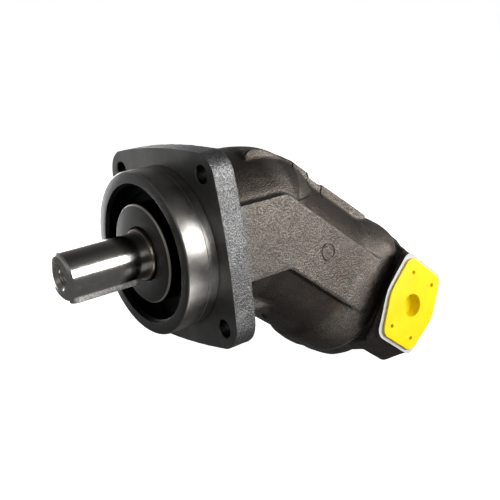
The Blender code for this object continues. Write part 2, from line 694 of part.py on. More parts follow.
def sealing_face(start, radius):
    """Place along the axis of the spherical sealing face, at a radius."""
    return start + LENS_CURVE - math.sqrt(LENS_CURVE ** 2 - radius ** 2)


def make_block():
    face = [(sealing_face(BLOCK_END, r), r) for r in (BLOCK_R - 1.5, 30, 20, 10)]
    profile = [(BLOCK_START, 10.5), (BLOCK_START, BLOCK_R - 1.5), (BLOCK_START + 1.5, BLOCK_R),
               (face[0][0] - 1.5, BLOCK_R)] + face[:-1]
    profile += [(sealing_face(BLOCK_END, 6.4), 6.4), (70, 6.4), (70, 10.5)]
    cylinder = turned("cylinder_block", profile, BENT, DARK_STEEL, SEGMENTS)
    for i, (x, y) in enumerate(ring_points(BALL_PITCH_R, PISTON_COUNT)):
        cut(cylinder, rod("cylinder_bore_%d" % i, BORE_R, BLOCK_START - 4, 84, BENT, (x, y), 16))
        cut(cylinder, rod("control_slot_%d" % i, 4.5, 80, 104, BENT, (x, y), 8))


def make_pistons():
    """Tapered pistons, parked at inner dead centre, with one ring each."""
    start = BALL_PARKED
    end = start + PISTON_LENGTH
    top = [(start - BALL_R * math.cos(a), BALL_R * math.sin(a))
           for a in (math.radians(30 * i) for i in range(6))]
    groove = end - 6
    body = [(start + 12, 4.4), (groove, 8.3), (groove, 7.0), (groove + 2.4, 7.0),
            (groove + 2.4, 8.5), (end - 0.8, 8.6), (end, 7.8), (end, 0)]
    for i, (x, y) in enumerate(ring_points(BALL_PITCH_R, PISTON_COUNT)):
        frame = BENT @ Matrix.Translation(Vector((x, y, 0)) * MM)
        turned("piston_%d" % (i + 1), top + body, frame, STEEL, 12)
        ring("piston_ring_%d" % (i + 1), 7.25, 8.75, groove + 0.3, groove + 2.1, frame,
             DARK_STEEL, 16)


def make_centre_pin():
    """Pin that centres the block between the drive flange and the control lens."""
    cap = [(-BALL_R * math.cos(a), BALL_R * math.sin(a))
           for a in (math.radians(32 * i) for i in range(5))]
    profile = cap + [(11, 5.3), (32, 5.3), (32, 8.4), (35, 8.4), (35, 5.3), (103.5, 5.3),
                     (104.5, 4.3), (104.5, 0)]
    turned("centre_pin", profile, BENT, STEEL, 16)
    ring("spring_seat", 5.7, 10.0, 35.3, 37.3, BENT, STEEL, 16)
    make_spring()


def make_spring():
    wire, coil, turns = 1.1, 8.2, 5
    low, high = 37.3 + GAP + wire, 70 - GAP - wire
    curve = bpy.data.curves.new("centre_spring", 'CURVE')
    curve.dimensions = '3D'
    curve.bevel_depth = wire * MM
    curve.bevel_resolution = 0
    curve.use_fill_caps = True
    count = turns * 10 + 1
    spline = curve.splines.new('POLY')
    spline.points.add(count - 1)
    for i, point in enumerate(spline.points):
        share = i / (count - 1)
        angle = 2 * math.pi * turns * share
        point.co = (coil * MM * math.cos(angle), coil * MM * math.sin(angle),
                    (low + (high - low) * share) * MM, 1)
    guide = bpy.data.objects.new("spring_curve", curve)
    CUTTERS.objects.link(guide)
    place("centre_spring", settle(guide), BENT, STEEL)
    bpy.data.objects.remove(guide, do_unlink=True)


def make_control_lens():
    face = [(sealing_face(LENS_START, r), r) for r in (10, 20, 30, LENS_R - 1)]
    profile = [(sealing_face(LENS_START, 5.8), 5.8)] + face + [(face[-1][0] + 1, LENS_R),
                                                             (LENS_END, LENS_R), (LENS_END, 5.8)]
    lens = turned("control_lens", profile, BENT, BRONZE, SEGMENTS)
    for middle in (90, -90):
        slot = kidney_outline(20.5, 29.5, 50, middle)
        cut(lens, plate("lens_kidney_%d" % middle, slot, 88, LENS_END + 4, BENT))
    cut(lens, rod("lens_pin_socket", 2.9, 100.5, LENS_END + 4, BENT, (-32, 0), 12))
    pin = [(101, 0), (101, 2.1), (101.5, 2.5), (112, 2.5), (112.4, 2.1), (112.4, 0)]
    frame = BENT @ Matrix.Translation(Vector((-32, 0, 0)) * MM)
    turned("lens_locating_pin", pin, frame, STEEL, 12)
    turned("housing_o_ring", o_ring_profile(44.2, 110.8, 1.2), BENT, RUBBER)


def finish():
    for obj in PARTS.objects:
        obj.data.shade_smooth()
        obj.data.set_sharp_from_angle(angle=math.radians(32))


make_housing()
make_port_plate()
make_plate_screws()
make_port_covers()
make_drain_plugs()
make_shaft()
key_solid("shaft_key", 0.0, 0.0, STEEL)
make_sealing()
make_bearing("front_bearing", 1.1, JOURNAL_FRONT_R + 0.3, -1)
make_bearing("rear_bearing", 23.1, JOURNAL_REAR_R + 0.3, 1)
make_retaining_plate()
make_block()
make_pistons()
make_centre_pin()
make_control_lens()
finish()
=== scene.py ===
"""Looks of the bent-axis axial piston pump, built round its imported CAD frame.

Lengths inside the shape code are millimetres in the CAD frame, and lengths inside materials
are metres. The origin is the centre of the flange's front face. The shaft points along -X, and
the block axis bends 40 degrees down behind it. In that bent part, u is the distance along the
block axis from the knee where the two axes meet, and w is the distance across it, upwards.
"""
import json
import math

import bmesh
import bpy
import numpy as np
from mathutils import Matrix, Vector

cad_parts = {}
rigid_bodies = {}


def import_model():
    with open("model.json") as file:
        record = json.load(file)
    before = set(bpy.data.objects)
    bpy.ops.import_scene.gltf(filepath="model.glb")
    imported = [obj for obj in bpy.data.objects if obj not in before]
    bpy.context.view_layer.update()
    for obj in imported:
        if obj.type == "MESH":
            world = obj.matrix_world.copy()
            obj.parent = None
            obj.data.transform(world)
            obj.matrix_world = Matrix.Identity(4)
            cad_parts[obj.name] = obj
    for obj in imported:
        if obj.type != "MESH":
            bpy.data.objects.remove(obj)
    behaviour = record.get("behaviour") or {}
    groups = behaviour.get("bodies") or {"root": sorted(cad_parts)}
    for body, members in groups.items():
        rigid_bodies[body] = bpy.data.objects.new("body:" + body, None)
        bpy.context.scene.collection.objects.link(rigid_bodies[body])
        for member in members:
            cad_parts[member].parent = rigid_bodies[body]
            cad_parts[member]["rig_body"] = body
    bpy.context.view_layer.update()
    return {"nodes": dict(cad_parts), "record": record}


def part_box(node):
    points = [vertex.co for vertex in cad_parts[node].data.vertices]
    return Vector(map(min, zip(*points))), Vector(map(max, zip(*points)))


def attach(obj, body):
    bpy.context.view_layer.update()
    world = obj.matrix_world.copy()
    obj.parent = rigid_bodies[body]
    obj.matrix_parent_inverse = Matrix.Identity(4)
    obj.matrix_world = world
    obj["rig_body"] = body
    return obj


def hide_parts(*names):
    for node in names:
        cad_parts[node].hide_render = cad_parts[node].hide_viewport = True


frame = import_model()

MM = 0.001
BEND = math.radians(40)
COS, SIN = math.cos(BEND), math.sin(BEND)
KNEE = 68.6               # x of the point where the shaft's and the block's axes meet
PARTING = 115.0           # u of the joint between housing and port plate
PORT_U = 131.8            # u of the ports' centres
PORT_FACE = 78.0          # distance of the port faces from the middle
PILOT_LENGTH = 25.8
FRONT_BORE_R = 51.6
BARREL_R = 58.0
CAVITY_R = 46.0
PAD_HALF_WIDTH = 30.0
BAND_Y = 60.5             # distance of the side bands' faces from the middle
HOUSING_PITCH, PLATE_PITCH, QUICK_PITCH = 1.5, 1.4, 4.0

U_AXIS = Vector((COS, 0, -SIN))
W_AXIS = Vector((SIN, 0, COS))
KNEE_POINT = Vector((KNEE, 0, 0))


def frame_along(z_axis, x_axis, origin=(0, 0, 0)):
    """Matrix whose local Z runs along z_axis and local X along x_axis, origin in mm."""
    z, x = Vector(z_axis).normalized(), Vector(x_axis).normalized()
    rotation = Matrix((x, z.cross(x), z)).transposed().to_4x4()
    return Matrix.Translation(Vector(origin)) @ rotation


SHAFT = frame_along((1, 0, 0), (0, 0, -1))
BENT = frame_along(U_AXIS, -W_AXIS, KNEE_POINT)
BENT_SIDE = frame_along((0, -1, 0), U_AXIS, KNEE_POINT)


# ---------------------------------------------------------------- mesh helpers

def new_piece(name, verts, faces, smooth_angle=32.0):
    """Object at the origin from points in mm, shaded smooth except at sharp edges."""
    mesh = bpy.data.meshes.new(name)
    mesh.from_pydata([tuple(c * MM for c in v) for v in verts], [], faces)
    obj = bpy.data.objects.new(name, mesh)
    bpy.context.scene.collection.objects.link(obj)
    finish_shading(obj, smooth_angle)
    return obj


def finish_shading(obj, smooth_angle=32.0):
    obj.data.shade_smooth()
    obj.data.set_sharp_from_angle(angle=math.radians(smooth_angle))


def recalc(obj):
    work = bmesh.new()
    work.from_mesh(obj.data)
    bmesh.ops.recalc_face_normals(work, faces=work.faces)
    work.to_mesh(obj.data)
    work.free()


def lathe(name, profile, matrix, steps=128):
    """Turned solid from (distance along the axis, radius) points; radius 0 closes it."""
    verts, rings = [], []
    for along, radius in profile:
        if radius <= 0:
            rings.append([len(verts)])
            verts.append(matrix @ Vector((0, 0, along)))
            continue
        rings.append(list(range(len(verts), len(verts) + steps)))
        for i in range(steps):
            a = 2 * math.pi * i / steps
            verts.append(matrix @ Vector((radius * math.cos(a), radius * math.sin(a), along)))
    pairs = list(zip(rings, rings[1:]))
    if profile[0][1] > 0:
        pairs.append((rings[-1], rings[0]))
    faces = []
    for low, high in pairs:
        for i in range(steps):
            j = (i + 1) % steps
            if len(low) == 1:
                faces.append((low[0], high[i], high[j]))
            elif len(high) == 1:
                faces.append((low[i], low[j], high[0]))
            else:
                faces.append((low[i], low[j], high[j], high[i]))
    obj = new_piece(name, verts, faces)
    recalc(obj)
    finish_shading(obj)
    return obj


def round_corners(points, radii, count=6):
    """Replace each corner of a closed outline by an arc."""
    if not hasattr(radii, "__len__"):
        radii = [radii] * len(points)
    result = []
    for i, (corner, radius) in enumerate(zip(points, radii)):
        here = Vector(corner)
        to_last = (Vector(points[i - 1]) - here).normalized()
        to_next = (Vector(points[(i + 1) % len(points)]) - here).normalized()
        half = to_last.angle(to_next) / 2
        centre = here + (to_last + to_next).normalized() * (radius / math.sin(half))
        start = (here + to_last * (radius / math.tan(half)) - centre).normalized()
        end = (here + to_next * (radius / math.tan(half)) - centre).normalized()
        for step in range(count):
            result.append(tuple(centre + start.slerp(end, step / (count - 1)) * radius))
    return result


def loft(name, sections, matrix):
    """Solid through outlines of equal length, each (height, outline)."""
    verts, rings = [], []
    for height, outline in sections:
        rings.append(list(range(len(verts), len(verts) + len(outline))))
        verts += [matrix @ Vector((x, y, height)) for x, y in outline]
    faces = [rings[0][::-1], rings[-1]]
    for low, high in zip(rings, rings[1:]):
        for i in range(len(low)):
            faces.append((low[i - 1], low[i], high[i], high[i - 1]))
    obj = new_piece(name, verts, faces)
    recalc(obj)
    finish_shading(obj)
    return obj


def shifted(matrix, x, y, z=0.0):
    return matrix @ Matrix.Translation(Vector((x, y, z)))


def corner_points(x, y):
    return [(x, y), (-x, y), (-x, -y), (x, -y)]


def carve(target, *tools, operation="DIFFERENCE", solver="MANIFOLD"):
    """Boolean each tool into the target for good, and remove the tools."""
    for tool in tools:
        step = target.modifiers.new("step", "BOOLEAN")
        step.operation = operation
        step.object = tool
        step.solver = solver
        graph = bpy.context.evaluated_depsgraph_get()
        mesh = bpy.data.meshes.new_from_object(target.evaluated_get(graph))
        target.modifiers.clear()
        if len(mesh.polygons) < 10:
            raise RuntimeError("%s lost its mesh to %s" % (target.name, tool.name))
        target.data = mesh
        bpy.data.objects.remove(tool, do_unlink=True)
    finish_shading(target)
    return target


# ---------------------------------------------------------------- distance fields

def bent_coordinates(x, z):
    dx = x - KNEE
    return dx * COS - z * SIN, dx * SIN + z * COS


def smooth_min(a, b, blend):
    h = np.clip(0.5 + 0.5 * (b - a) / blend, 0, 1)
    return b + (a - b) * h - blend * h * (1 - h)


def smooth_max(a, b, blend):
    return -smooth_min(-a, -b, blend)


def edge_round(a, b, radius):
    """Intersection of two distances with a rounded edge."""
    a, b = a + radius, b + radius
    return np.minimum(np.maximum(a, b), 0) + np.hypot(np.maximum(a, 0), np.maximum(b, 0)) - radius


def polygon_distance(px, py, points):
    """Signed distance to a closed outline, negative inside."""
    best = np.full(np.broadcast(px, py).shape, 1e9)
    inside = np.zeros(best.shape, bool)
    for (ax, ay), (bx, by) in zip(points, points[1:] + points[:1]):
        ex, ey = bx - ax, by - ay
        wx, wy = px - ax, py - ay
        t = np.clip((wx * ex + wy * ey) / (ex * ex + ey * ey), 0, 1)
        best = np.minimum(best, (wx - t * ex) ** 2 + (wy - t * ey) ** 2)
        if abs(ey) > 1e-9:
            inside ^= ((ay > py) != (by > py)) & (px < ex * (py - ay) / ey + ax)
    distance = np.sqrt(best)
    return np.where(inside, -distance, distance)


def surface_net(field, low, high, pitch):
    """Closed mesh of a field's zero surface, its points settled onto that surface."""
    axes = [np.arange(a, b + pitch, pitch) for a, b in zip(low, high)]
    value = field(axes[0][:, None, None], axes[1][None, :, None], axes[2][None, None, :])
    inside = value < 0
    corners = [(i, j, k) for i in (0, 1) for j in (0, 1) for k in (0, 1)]
    shape = tuple(n - 1 for n in value.shape)

    def corner_view(array, c):
        return array[c[0]:c[0] + shape[0], c[1]:c[1] + shape[1], c[2]:c[2] + shape[2]]

    filled = sum(corner_view(inside, c).astype(np.int8) for c in corners)
    active = (filled > 0) & (filled < 8)
    number = np.full(shape, -1, np.int64)
    number[active] = np.arange(active.sum())
    cells = np.argwhere(active)
    at = {c: corner_view(value, c)[active] for c in corners}
    total = np.zeros((len(cells), 3))
    count = np.zeros(len(cells))
    for a in corners:
        for axis in range(3):
            if a[axis]:
                continue
            b = tuple(1 if n == axis else a[n] for n in range(3))
            va, vb = at[a], at[b]
            crossed = (va < 0) != (vb < 0)
            t = np.where(crossed, va / np.where(crossed, va - vb, 1), 0)
            point = np.array(a, float) + t[:, None] * (np.array(b, float) - np.array(a, float))
            total[crossed] += point[crossed]
            count += crossed
    points = (cells + total / count[:, None]) * pitch + np.array([a[0] for a in axes])
    faces = net_faces(inside, number)
    for _ in range(4):
        points = settle(points, field)
    return points, faces


def net_faces(inside, number):
    faces = []
    for axis in range(3):
        b, c = (axis + 1) % 3, (axis + 2) % 3
        near = [slice(None)] * 3
        far = [slice(None)] * 3
        near[axis], far[axis] = slice(0, -1), slice(1, None)
        start, end = inside[tuple(near)], inside[tuple(far)]
        where = np.argwhere(start != end)
        where = where[(where[:, b] > 0) & (where[:, c] > 0)
                      & (where[:, b] < number.shape[b]) & (where[:, c] < number.shape[c])]
        outward = start[tuple(where.T)]
        ring = []
        for db, dc in ((-1, -1), (0, -1), (0, 0), (-1, 0)):
            cell = where.copy()
            cell[:, b] += db
            cell[:, c] += dc
            ring.append(number[tuple(cell.T)])
        quads = np.stack(ring, 1)
        quads[~outward] = quads[~outward][:, ::-1]
        faces.append(quads)
    return np.concatenate(faces)


def settle(points, field):
    """One step of each point along the field's slope to its zero surface."""
    x, y, z = points.T
    here = field(x, y, z)
    e = 0.05
    slope = np.stack([field(x + e, y, z) - field(x - e, y, z),
                      field(x, y + e, z) - field(x, y - e, z),
                      field(x, y, z + e) - field(x, y, z - e)], 1) / (2 * e)
    step = here[:, None] * slope / np.maximum((slope ** 2).sum(1), 0.2)[:, None]
    length = np.linalg.norm(step, axis=1)
    step *= (np.minimum(length, 0.8) / np.maximum(length, 1e-9))[:, None]
    return points - step


def net_piece(name, field, low, high, pitch):
    points, faces = surface_net(field, low, high, pitch)
    mesh = bpy.data.meshes.new(name)
    mesh.from_pydata((points * MM).tolist(), [], faces.tolist())
    mesh.validate()
    obj = bpy.data.objects.new(name, mesh)
    bpy.context.scene.collection.objects.link(obj)
    return obj


# ---------------------------------------------------------------- casting shapes

def side_point(u, w):
    """(x, z) in the side view of a place along and across the block axis."""
    return (KNEE + u * COS + w * SIN, -u * SIN + w * COS)


FLANGE_SWEEP = 543.0      # radius of the flange's slightly convex sides
FLANGE_HALF = 75.0
FLANGE_CORNER_R, FLANGE_EDGE_R = 15.0, 1.6


def flange_field(x, y, z):
    """Square flange from x = -4 to 18; the front plane cuts it off at 0."""
    off = FLANGE_SWEEP - FLANGE_HALF
    side_y = np.hypot(np.abs(y) + off, z) - FLANGE_SWEEP
    side_z = np.hypot(np.abs(z) + off, y) - FLANGE_SWEEP
    outline = edge_round(side_y, side_z, FLANGE_CORNER_R)
    return edge_round(outline, np.abs(x - 7) - 11, FLANGE_EDGE_R)


BAND = round_corners(
    [(8, -28.6), (66.1, -28.6), side_point(104, -23.5), side_point(104, 23.5), (71.8, 28.6),
     (8, 28.6)], [2, 12, 7, 7, 14, 2])
TOP_PAD = round_corners(
    [(54, 30), (60, 62.5), side_point(-40, 48), side_point(-30, 52.6),
     side_point(-15, 56.0), side_point(-3, 58.6), side_point(17, 58.6), side_point(20, 56),
     side_point(32, 56), side_point(36, 57.6), side_point(60, 58.2), side_point(92.5, 58.9),
     side_point(92.5, 40), side_point(0, 30)],
    [2, 8, 14, 14, 14, 8, 1.2, 1.2, 3, 3, 8, 2, 3, 5])
KEEL = round_corners(
    [(8, -30), (8, -70.5), (60, -69.0), side_point(43, -55.3), side_point(77, -55.3),
     side_point(78.5, -36), side_point(30, -30)], [2, 2, 9, 12, 8, 4, 4])


FLATTER_ABOVE, FLATTER_BELOW = 1.015, 1.025


def collar_outline(y, w, half, above, below):
    """Rounded square round the block axis, with corner radii above and below, slightly flat."""
    radius = np.where(w > 0, above, below)
    height = np.where(w > 0, w * FLATTER_ABOVE, -w * FLATTER_BELOW)
    a, b = np.abs(y) - half + radius, height - half + radius
    return np.minimum(np.maximum(a, b), 0) + np.hypot(np.maximum(a, 0), np.maximum(b, 0)) - radius


def ease(value, start, end):
    """0 before start, 1 after end, smooth between."""
    t = np.clip((value - start) / (end - start), 0, 1)
    return t * t * (3 - 2 * t)


COLLAR_RISE = 3.3
SQUARER_ABOVE, SQUARER_BELOW = 15.0, 9.0


def collar_field(y, u, w):
    """The round barrel turns into the rounded-square collar towards the parting."""
    square = ease(u, 83, 109)
    shape = collar_outline(y, w, BARREL_R + COLLAR_RISE * ease(u, 72, 98),
                           BARREL_R - SQUARER_ABOVE * square, BARREL_R - SQUARER_BELOW * square)
    return np.maximum(np.maximum(shape, 60 - u), u - 120)


def cast_ripple(x, y, z):
    """Slight unevenness of the sand-cast skin."""
    return (0.10 * np.sin(x * 0.31 + 2.0 * np.sin(y * 0.13)) * np.sin(z * 0.27 + 1.3)
            + 0.07 * np.sin(y * 0.43 + x * 0.21) * np.sin(z * 0.39 - x * 0.17))


CROWN_X, CROWN_R, CROWN_HALF_WIDTH = 67.6, 63.4, 61.0


def crown_field(x, y, z):
    """Fuller round upper half between the flange and the knee, domed at its rear."""
    past = np.maximum(x - CROWN_X, 0)
    dome = np.sqrt((y * CROWN_R / CROWN_HALF_WIDTH) ** 2 + z ** 2 + past ** 2) - CROWN_R
    return np.maximum(np.maximum(dome, -x - 3), 20.0 - z)


BARREL_BLEND, CROWN_BLEND, BAND_BLEND, PAD_BLEND, FLANGE_BLEND = 5.0, 2.0, 2.4, 3.0, 4.0


def housing_field(x, y, z):
    """Distance to the rough casting, before it is machined."""
    u, w = bent_coordinates(x, z)
    neck = np.maximum(np.maximum(np.hypot(y, z) - BARREL_R, x - KNEE), -x - 3)
    knee = np.sqrt((x - KNEE) ** 2 + y ** 2 + z ** 2) - BARREL_R
    barrel = np.maximum(np.maximum(np.hypot(y, w) - BARREL_R, -u), u - 90)
    body = smooth_min(np.minimum(neck, knee), barrel, BARREL_BLEND)
    body = smooth_min(body, crown_field(x, y, z), CROWN_BLEND)
    body = np.minimum(body, collar_field(y, u, w))
    side = np.abs(y)
    band = edge_round(polygon_distance(x, z, BAND), side - BAND_Y, 1.2)
    body = smooth_min(body, band, BAND_BLEND)
    top = edge_round(polygon_distance(x, z, TOP_PAD), side - PAD_HALF_WIDTH, 1.6)
    body = smooth_min(body, top, PAD_BLEND)
    keel_side = polygon_distance(x, z, KEEL)
    slope = (keel_side + side - PAD_HALF_WIDTH + 8.0) * 0.7071
    keel = smooth_max(edge_round(keel_side, side - PAD_HALF_WIDTH, 2.0), slope, 1.5)
    body = smooth_min(body, keel, PAD_BLEND)
    body = smooth_min(body, flange_field(x, y, z), FLANGE_BLEND)
    return body + cast_ripple(x, y, z)


def plane_cutter(name, point, normal):
    """Big block that lies on the normal's side of a plane."""
    matrix = frame_along(normal, (0, 1, 0) if abs(normal[1]) < 0.9 else (1, 0, 0), point)
    reach = 300
    outline = [(-reach, -reach), (reach, -reach), (reach, reach), (-reach, reach)]
    return loft(name, [(0, outline), (reach, outline)], matrix)


BOLT_PITCH = 56.57        # 160 mm circle
SCREW_OFFSET = 37.5
DRAINS = (("top", 1, 6.0, 58.5), ("bottom", -1, 44.0, 58.6))
DRAIN_DEPTH = 6.5


def drain_frame(along):
    return frame_along(W_AXIS, U_AXIS, KNEE_POINT + U_AXIS * along)


def front_bore():
    """Seat of the bearings, open to the front and to the cavity."""
    return [(-40, 0), (-40, CAVITY_R), (-2, CAVITY_R), (-2, 42.9), (46, 42.9), (46, CAVITY_R),
            (80, CAVITY_R), (80, 0)]


def build_housing():
    skin = net_piece("housing_casting", housing_field, (-7, -80, -132), (214, 80, 80),
                     HOUSING_PITCH)
    carve(skin, plane_cutter("front_plane", (0, 0, 0), (-1, 0, 0)),
          plane_cutter("rear_plane", KNEE_POINT + U_AXIS * PARTING, U_AXIS))
    carve(skin, lathe("bore", front_bore(), SHAFT, 96),
          lathe("cavity", [(0, 0), (0, CAVITY_R), (PARTING + 9, CAVITY_R), (PARTING + 9, 0)],
                BENT, 96))
    for i, (x, y) in enumerate(corner_points(BOLT_PITCH, BOLT_PITCH)):
        hole = [(-5, 0), (-5, 7.2), (0.0, 7.55), (0.8, 6.75), (40, 6.75), (40, 0)]
        carve(skin, lathe("bolt_hole_%d" % i, hole, shifted(SHAFT, x, y), 48))
    for i, (x, y) in enumerate(corner_points(SCREW_OFFSET, SCREW_OFFSET)):
        hole = [(100, 0), (100, 5.2), (PARTING + 5, 5.2), (PARTING + 5, 0)]
        carve(skin, lathe("tapped_%d" % i, hole, shifted(BENT, x, y), 32))
    for name, sign, along, surface in DRAINS:
        seat = surface - DRAIN_DEPTH
        hole = [(38, 0), (38, 9.3), (seat, 9.3), (seat, 13.6), (surface + 6, 13.6),
                (surface + 6, 0)]
        carve(skin, lathe(name + "_drain", [(sign * a, r) for a, r in hole],
                          drain_frame(along), 64))
    mark_casting(skin)
    return skin


def ribbon(points, width):
    """Outline of a line of constant width through points."""
    left, right = [], []
    for i, point in enumerate(points):
        last, following = Vector(points[max(i - 1, 0)]), Vector(points[min(i + 1, len(points) - 1)])
        across = (following - last).orthogonal().normalized() * (width / 2)
        left.append(tuple(Vector(point) + across))
        right.append(tuple(Vector(point) - across))
    return left + right[::-1]


def bow(start, end, sag, count=12):
    """Points of a shallow arc from start to end."""
    a, b = Vector(start), Vector(end)
    across = (b - a).orthogonal().normalized() * sag
    turns = [i / (count - 1) for i in range(count)]
    return [tuple(a.lerp(b, t) + across * math.sin(math.pi * t)) for t in turns]


PAD_GROOVES = ((bow((-1.0, 61), (3.5, 44), -2.0), 1.1), (bow((13.0, 60), (17.5, 43), 3.5), 1.0),
               (bow((31.0, 59), (36.5, 44), 2.5), 1.6))


def mark_casting(skin):
    """Pattern-joint grooves on the sides of the top pad, and a plain ring as a cast mark."""
    for side in (-1, 1):
        for points, width in PAD_GROOVES:
            near, far = sorted((-side * (PAD_HALF_WIDTH - 0.9), -side * (PAD_HALF_WIDTH + 5)))
            outline = ribbon(points, width)
            carve(skin, loft("groove", [(near, outline), (far, outline)], BENT_SIDE))
    surface = BAND_Y - 0.8
    ring = [(surface, 5.4), (surface + 1.3, 5.6), (surface + 1.55, 5.9), (surface + 1.55, 6.7),
            (surface + 1.3, 7.0), (surface, 7.2)]
    dot = [(surface, 0), (surface, 1.7), (surface + 1.3, 1.5), (surface + 1.5, 1.1),
           (surface + 1.5, 0)]
    place = shifted(BENT_SIDE, 43, 4)
    carve(skin, lathe("mark_ring", ring, place, 64), lathe("mark_dot", dot, place, 32),
          operation="UNION")


def build_pilot():
    edge = PILOT_LENGTH
    snap = [(-2.0, 46.2), (-2.0, FRONT_BORE_R), (-10.0, FRONT_BORE_R), (-10.0, 54.0),
            (-12.9, 54.0), (-12.9, FRONT_BORE_R)]
    mouth = [(-edge + 3.2, FRONT_BORE_R), (-edge + 2.9, FRONT_BORE_R + 0.4), (-edge, 53.6)]
    outside = [(-edge, 61.1), (-edge + 0.25, 61.6), (-edge + 1.1, 62.35), (-edge + 1.4, 62.5),
               (-8.5, 62.5), (-8.2, 62.05), (-7.8, 62.05), (-7.5, 62.3), (-0.9, 62.3),
               (-0.6, 61.8), (0.0, 61.8)]
    return lathe("housing_pilot", snap + mouth + outside + [(0.0, 46.2)], SHAFT, 160)


# ---------------------------------------------------------------- port plate

UNDERCUT_Y = 61.8         # outside this the bosses slant forward over the collar
PORT_DRAFT = ((78.0, 0.0), (75.0, 0.0), (50.0, 9.5), (30.0, 5.5), (0.0, 5.5))


def port_outline(grow, count=10):
    """Barrel-sided six-cornered port pad, in the (u, w) plane."""
    mid, end, tall = 31 + grow, 21.5 + grow, 36.5 + grow
    corners = [(mid, 0), (end, tall), (-end - 4, tall + 1), (-mid, 0), (-end, -tall),
               (end, -tall)]
    radii = [30.0 if w == 0 else 8.0 for _, w in corners]
    return round_corners([(PORT_U + u, w) for u, w in corners], radii, count)


PORT_OUTLINE = port_outline(0.0)


def port_plate_field(x, y, z):
    u, w = bent_coordinates(x, z)
    side = np.abs(y)
    disc = edge_round(collar_outline(y, w, 60.0, 42.0, 53.0), np.abs(u - 119.5) - 11.5, 2.0)
    core = edge_round(np.hypot(y, w) - 46.0, np.abs(u - 136) - 22, 6.0)
    heights = [-a for a, _ in PORT_DRAFT]
    growth = np.interp(-side, heights, [g for _, g in PORT_DRAFT])
    across, tall = 26.0 / (26.0 + growth), 36.5 / (36.5 + growth)
    boss = polygon_distance(PORT_U + (u - PORT_U) * across, w * tall, PORT_OUTLINE) / tall
    boss = np.maximum(boss * 0.95, side - (PORT_FACE + 4))
    under = (PARTING + 1.0 - u - np.maximum(side - UNDERCUT_Y, 0) * 0.96) * 0.75
    boss = smooth_max(boss, under, 1.0)
    body = smooth_min(disc, core, 8.0)
    return smooth_min(body, boss, 5.0) + cast_ripple(x, y, z)


def kidney_outline(inner, outer, half_angle, middle, count=16):
    """Arc-shaped slot centred on the direction given in degrees."""
    low, high = math.radians(middle - half_angle), math.radians(middle + half_angle)
    turns = [low + (high - low) * i / (count - 1) for i in range(count)]
    return ([(outer * math.cos(a), outer * math.sin(a)) for a in turns]
            + [(inner * math.cos(a), inner * math.sin(a)) for a in reversed(turns)])


def straight_hole(name, radius, low, high, matrix, steps=40):
    return lathe(name, [(low, 0), (low, radius), (high, radius), (high, 0)], matrix, steps)


SEAT = 127.0              # u under the heads of the port plate's screws
PORT_BOLT = (12.8, 24.0)


def build_port_plate():
    plate = net_piece("port_plate_casting", port_plate_field, (100, -86, -175), (245, 86, 30),
                      PLATE_PITCH)
    flat = corner_points(UNDERCUT_Y, 200)
    carve(plate, loft("plate_front", [(-PARTING - 0.3, flat), (0, flat)],
                      frame_along(-U_AXIS, (0, 1, 0), KNEE_POINT)),
          plane_cutter("near_face", (0, -PORT_FACE, 0), (0, -1, 0)),
          plane_cutter("far_face", (0, PORT_FACE, 0), (0, 1, 0)))
    spigot = [(107, 0), (107, 45), (107.6, 45.6), (109.2, 45.6), (109.2, 42.6), (112.4, 42.6),
              (112.4, 45.6), (118, 45.6), (118, 0)]
    carve(plate, lathe("spigot", spigot, BENT, 96), operation="UNION")
    for side in (-1, 1):
        kidney = kidney_outline(19.5, 30.5, 48, side * 90)
        carve(plate, loft("kidney", [(104, kidney), (PORT_U, kidney)], BENT))
        near, far = sorted((-side * 24.0, -side * (PORT_FACE + 6)))
        carve(plate, straight_hole("port", 11.0, near, far, shifted(BENT_SIDE, PORT_U, 0), 64))
        near, far = sorted((-side * (PORT_FACE - 17), -side * (PORT_FACE + 6)))
        for x, y in corner_points(*PORT_BOLT):
            place = shifted(BENT_SIDE, PORT_U + x, y)
            carve(plate, straight_hole("thread", 4.3, near, far, place, 32))
    for x, y in corner_points(SCREW_OFFSET, SCREW_OFFSET):
        place = shifted(BENT, x, y)
        carve(plate, straight_hole("screw_hole", 5.3, 100, SEAT + 8, place),
              straight_hole("head_pocket", 8.6, SEAT - 0.3, SEAT + 60, place, 48))
    carve(plate, straight_hole("pin_hole", 2.9, 100, 112.8, shifted(BENT, -32, 0), 24))
    return plate


def hexagon(across_flats):
    corner = across_flats / math.sqrt(3)
    turns = [math.radians(60 * n) for n in range(6)]
    return [(corner * math.cos(a), corner * math.sin(a)) for a in turns]


def build_plate_screws():
    """Hexagon socket screws of the port plate."""
    pieces = []
    for i, (x, y) in enumerate(corner_points(SCREW_OFFSET, SCREW_OFFSET)):
        place = shifted(BENT, x, y)
        profile = [(102, 0), (102, 4.0), (103, 4.9), (SEAT, 4.9), (SEAT, 7.4), (SEAT + 0.5, 7.9),
                   (SEAT + 8.9, 7.9), (SEAT + 9.6, 7.5), (SEAT + 10, 6.9), (SEAT + 10, 0)]
        screw = lathe("plate_screw_%d" % (i + 1), profile, place, 64)
        socket = hexagon(8)
        carve(screw, loft("socket", [(SEAT + 4.5, socket), (SEAT + 14, socket)], place))
        pieces.append(screw)
    return pieces


